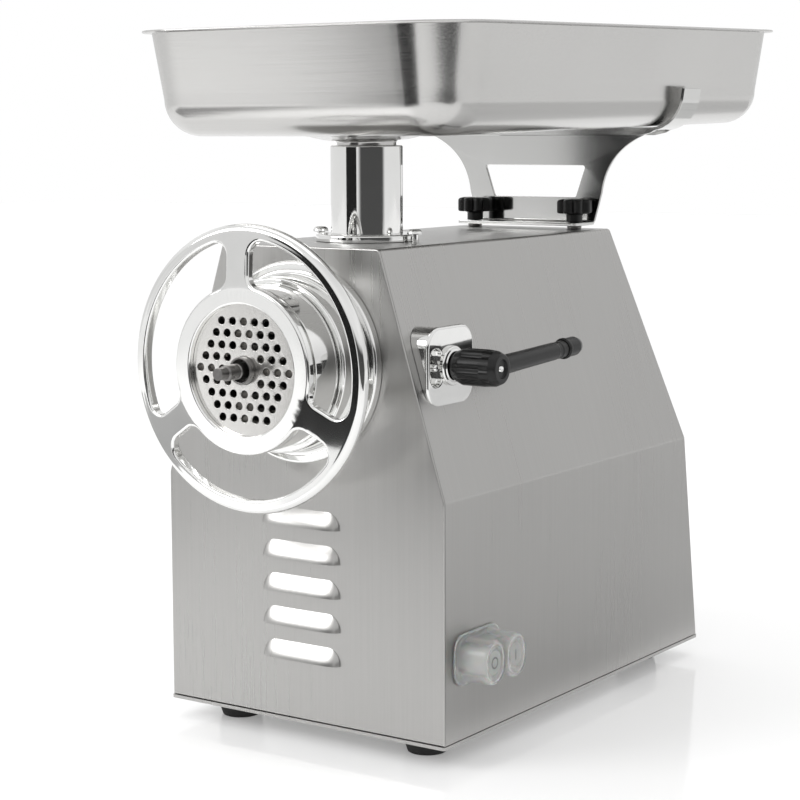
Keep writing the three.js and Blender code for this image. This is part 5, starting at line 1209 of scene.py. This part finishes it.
def stage_floor():
    """A pale floor. Steel doesn't reflect one corner of it, and shows the world's dark zone there."""
    far, right, back = 8, 1.15, -0.6
    corners = [(-far, -far), (right, -far), (right, back), (far, back), (far, far), (-far, far)]
    ground = material(
        "floor", (0.9, 0.9, 0.9), 0, 0.1, (3, 3, 3), 0.01, 0.02, 0, 1,
        Emission_Color=(1, 1, 1, 1), Emission_Strength=0.2,
    )
    stage_sheet("floor", [(x, y, 0) for x, y in corners], ground)
    rest = [(right, -far, 0), (far, -far, 0), (far, back, 0), (right, back, 0)]
    stage_sheet("floor_rest", rest, ground).visible_glossy = False


def one_sided(shade, name):
    """A matt card that shows from its front only, so the floor below it stays clean."""
    made = material(name, (shade,) * 3, 0, 0.8, (9, 9, 9), 0.1, 0.1, 0, 2)
    nodes, links = made.node_tree.nodes, made.node_tree.links
    nodes["Principled BSDF"].inputs["Specular IOR Level"].default_value = 0.1
    side, mix = nodes.new("ShaderNodeNewGeometry"), nodes.new("ShaderNodeMixShader")
    links.new(side.outputs["Backfacing"], mix.inputs[0])
    links.new(nodes["Principled BSDF"].outputs[0], mix.inputs[1])
    links.new(nodes.new("ShaderNodeBsdfTransparent").outputs[0], mix.inputs[2])
    links.new(mix.outputs[0], nodes["Material Output"].inputs["Surface"])
    return made


def stage_cards():
    """Dark and grey cards round the machine. Only reflections show them, as in a studio's steel shots."""
    dark, middle, pale = (one_sided(shade, f"card_{shade}") for shade in (0.015, 0.34, 0.75))
    low, high = 0.002, 0.56
    near_left, near_right, far_right, far_left = (-0.5, -1.02), (0.1, -1.25), (0.1, -2.0), (-0.98, -1.67)
    cards = {
        "card_floor": ([(*p, low) for p in (far_left, far_right, near_right, near_left)], dark),
        "card_upright": ([(*far_right, low), (*far_left, low), (*far_left, high), (*far_right, high)], dark),
        "card_left": ([(-1.4, -1.2, low), (-0.75, -1.2, low), (-0.55, -0.5, low), (-1.4, -0.5, low)], middle),
        "card_right": ([(0.17, -0.15, low), (1.7, -0.15, low), (1.7, 2.0, low), (0.17, 2.0, low)], pale),
    }
    for name, (corners, finish) in cards.items():
        card = stage_sheet(name, corners, finish)
        card.visible_camera = card.visible_diffuse = card.visible_shadow = card.visible_transmission = False


def area_light(name, place, target, size, power):
    data = bpy.data.lights.new(name, "AREA")
    data.shape, data.size, data.size_y, data.energy = "RECTANGLE", *size, power
    light = placed(name, data)
    light.location = place
    light.rotation_mode = "QUATERNION"
    light.rotation_quaternion = (Vector(target) - Vector(place)).to_track_quat("-Z", "Y")


def studio_world():
    """White all round, with a dark zone behind the camera that polished steel reflects."""
    world = bpy.data.worlds.new("studio")
    bpy.context.scene.world = world
    world.use_nodes = True
    tree = world.node_tree
    nodes, links = tree.nodes, tree.links
    background = nodes["Background"]
    place = nodes.new("ShaderNodeTexCoord").outputs["Generated"]

    def ramp(source, stops):
        made = nodes.new("ShaderNodeValToRGB")
        while len(made.color_ramp.elements) < len(stops):
            made.color_ramp.elements.new(0.5)
        for element, (at, value) in zip(made.color_ramp.elements, stops):
            element.position = at
            element.color = (value, value, value, 1)
        links.new(source, made.inputs["Fac"])
        return made.outputs["Color"]

    def facing(direction, low, high):
        dot = nodes.new("ShaderNodeVectorMath")
        dot.operation = "DOT_PRODUCT"
        dot.inputs[1].default_value = Vector(direction).normalized()
        links.new(place, dot.inputs[0])
        return map_range(tree, dot.outputs["Value"], (low, high), smooth=True)

    split = nodes.new("ShaderNodeSeparateXYZ")
    links.new(place, split.inputs["Vector"])
    rise = map_range(tree, split.outputs["Z"], (-1, 1))
    bright = ramp(rise, [(0.0, 0.9), (0.47, 0.9), (0.56, 0.78), (0.7, 1.0), (1.0, 0.8)])
    dark = ramp(rise, [(0.0, 0.4), (0.4, 0.1), (0.57, 0.06), (0.63, 0.9), (1.0, 1.0)])
    zone = mixed(tree, facing((0.78, -0.62, 0), 0.7, 0.84), bright, dark)
    seen = nodes.new("ShaderNodeLightPath").outputs["Is Camera Ray"]
    links.new(mixed(tree, seen, zone, (1, 1, 1, 1)), background.inputs["Color"])
    background.inputs["Strength"].default_value = 1.0


stage_floor()
stage_cards()
studio_world()
area_light("overhead", (-0.3, 0.1, 2.6), (0, 0, 0), (2.6, 2.2), 12)
area_light("front_left", (-1.5, -2.0, 1.45), (0, -0.1, 0.2), (1.5, 1.0), 24)
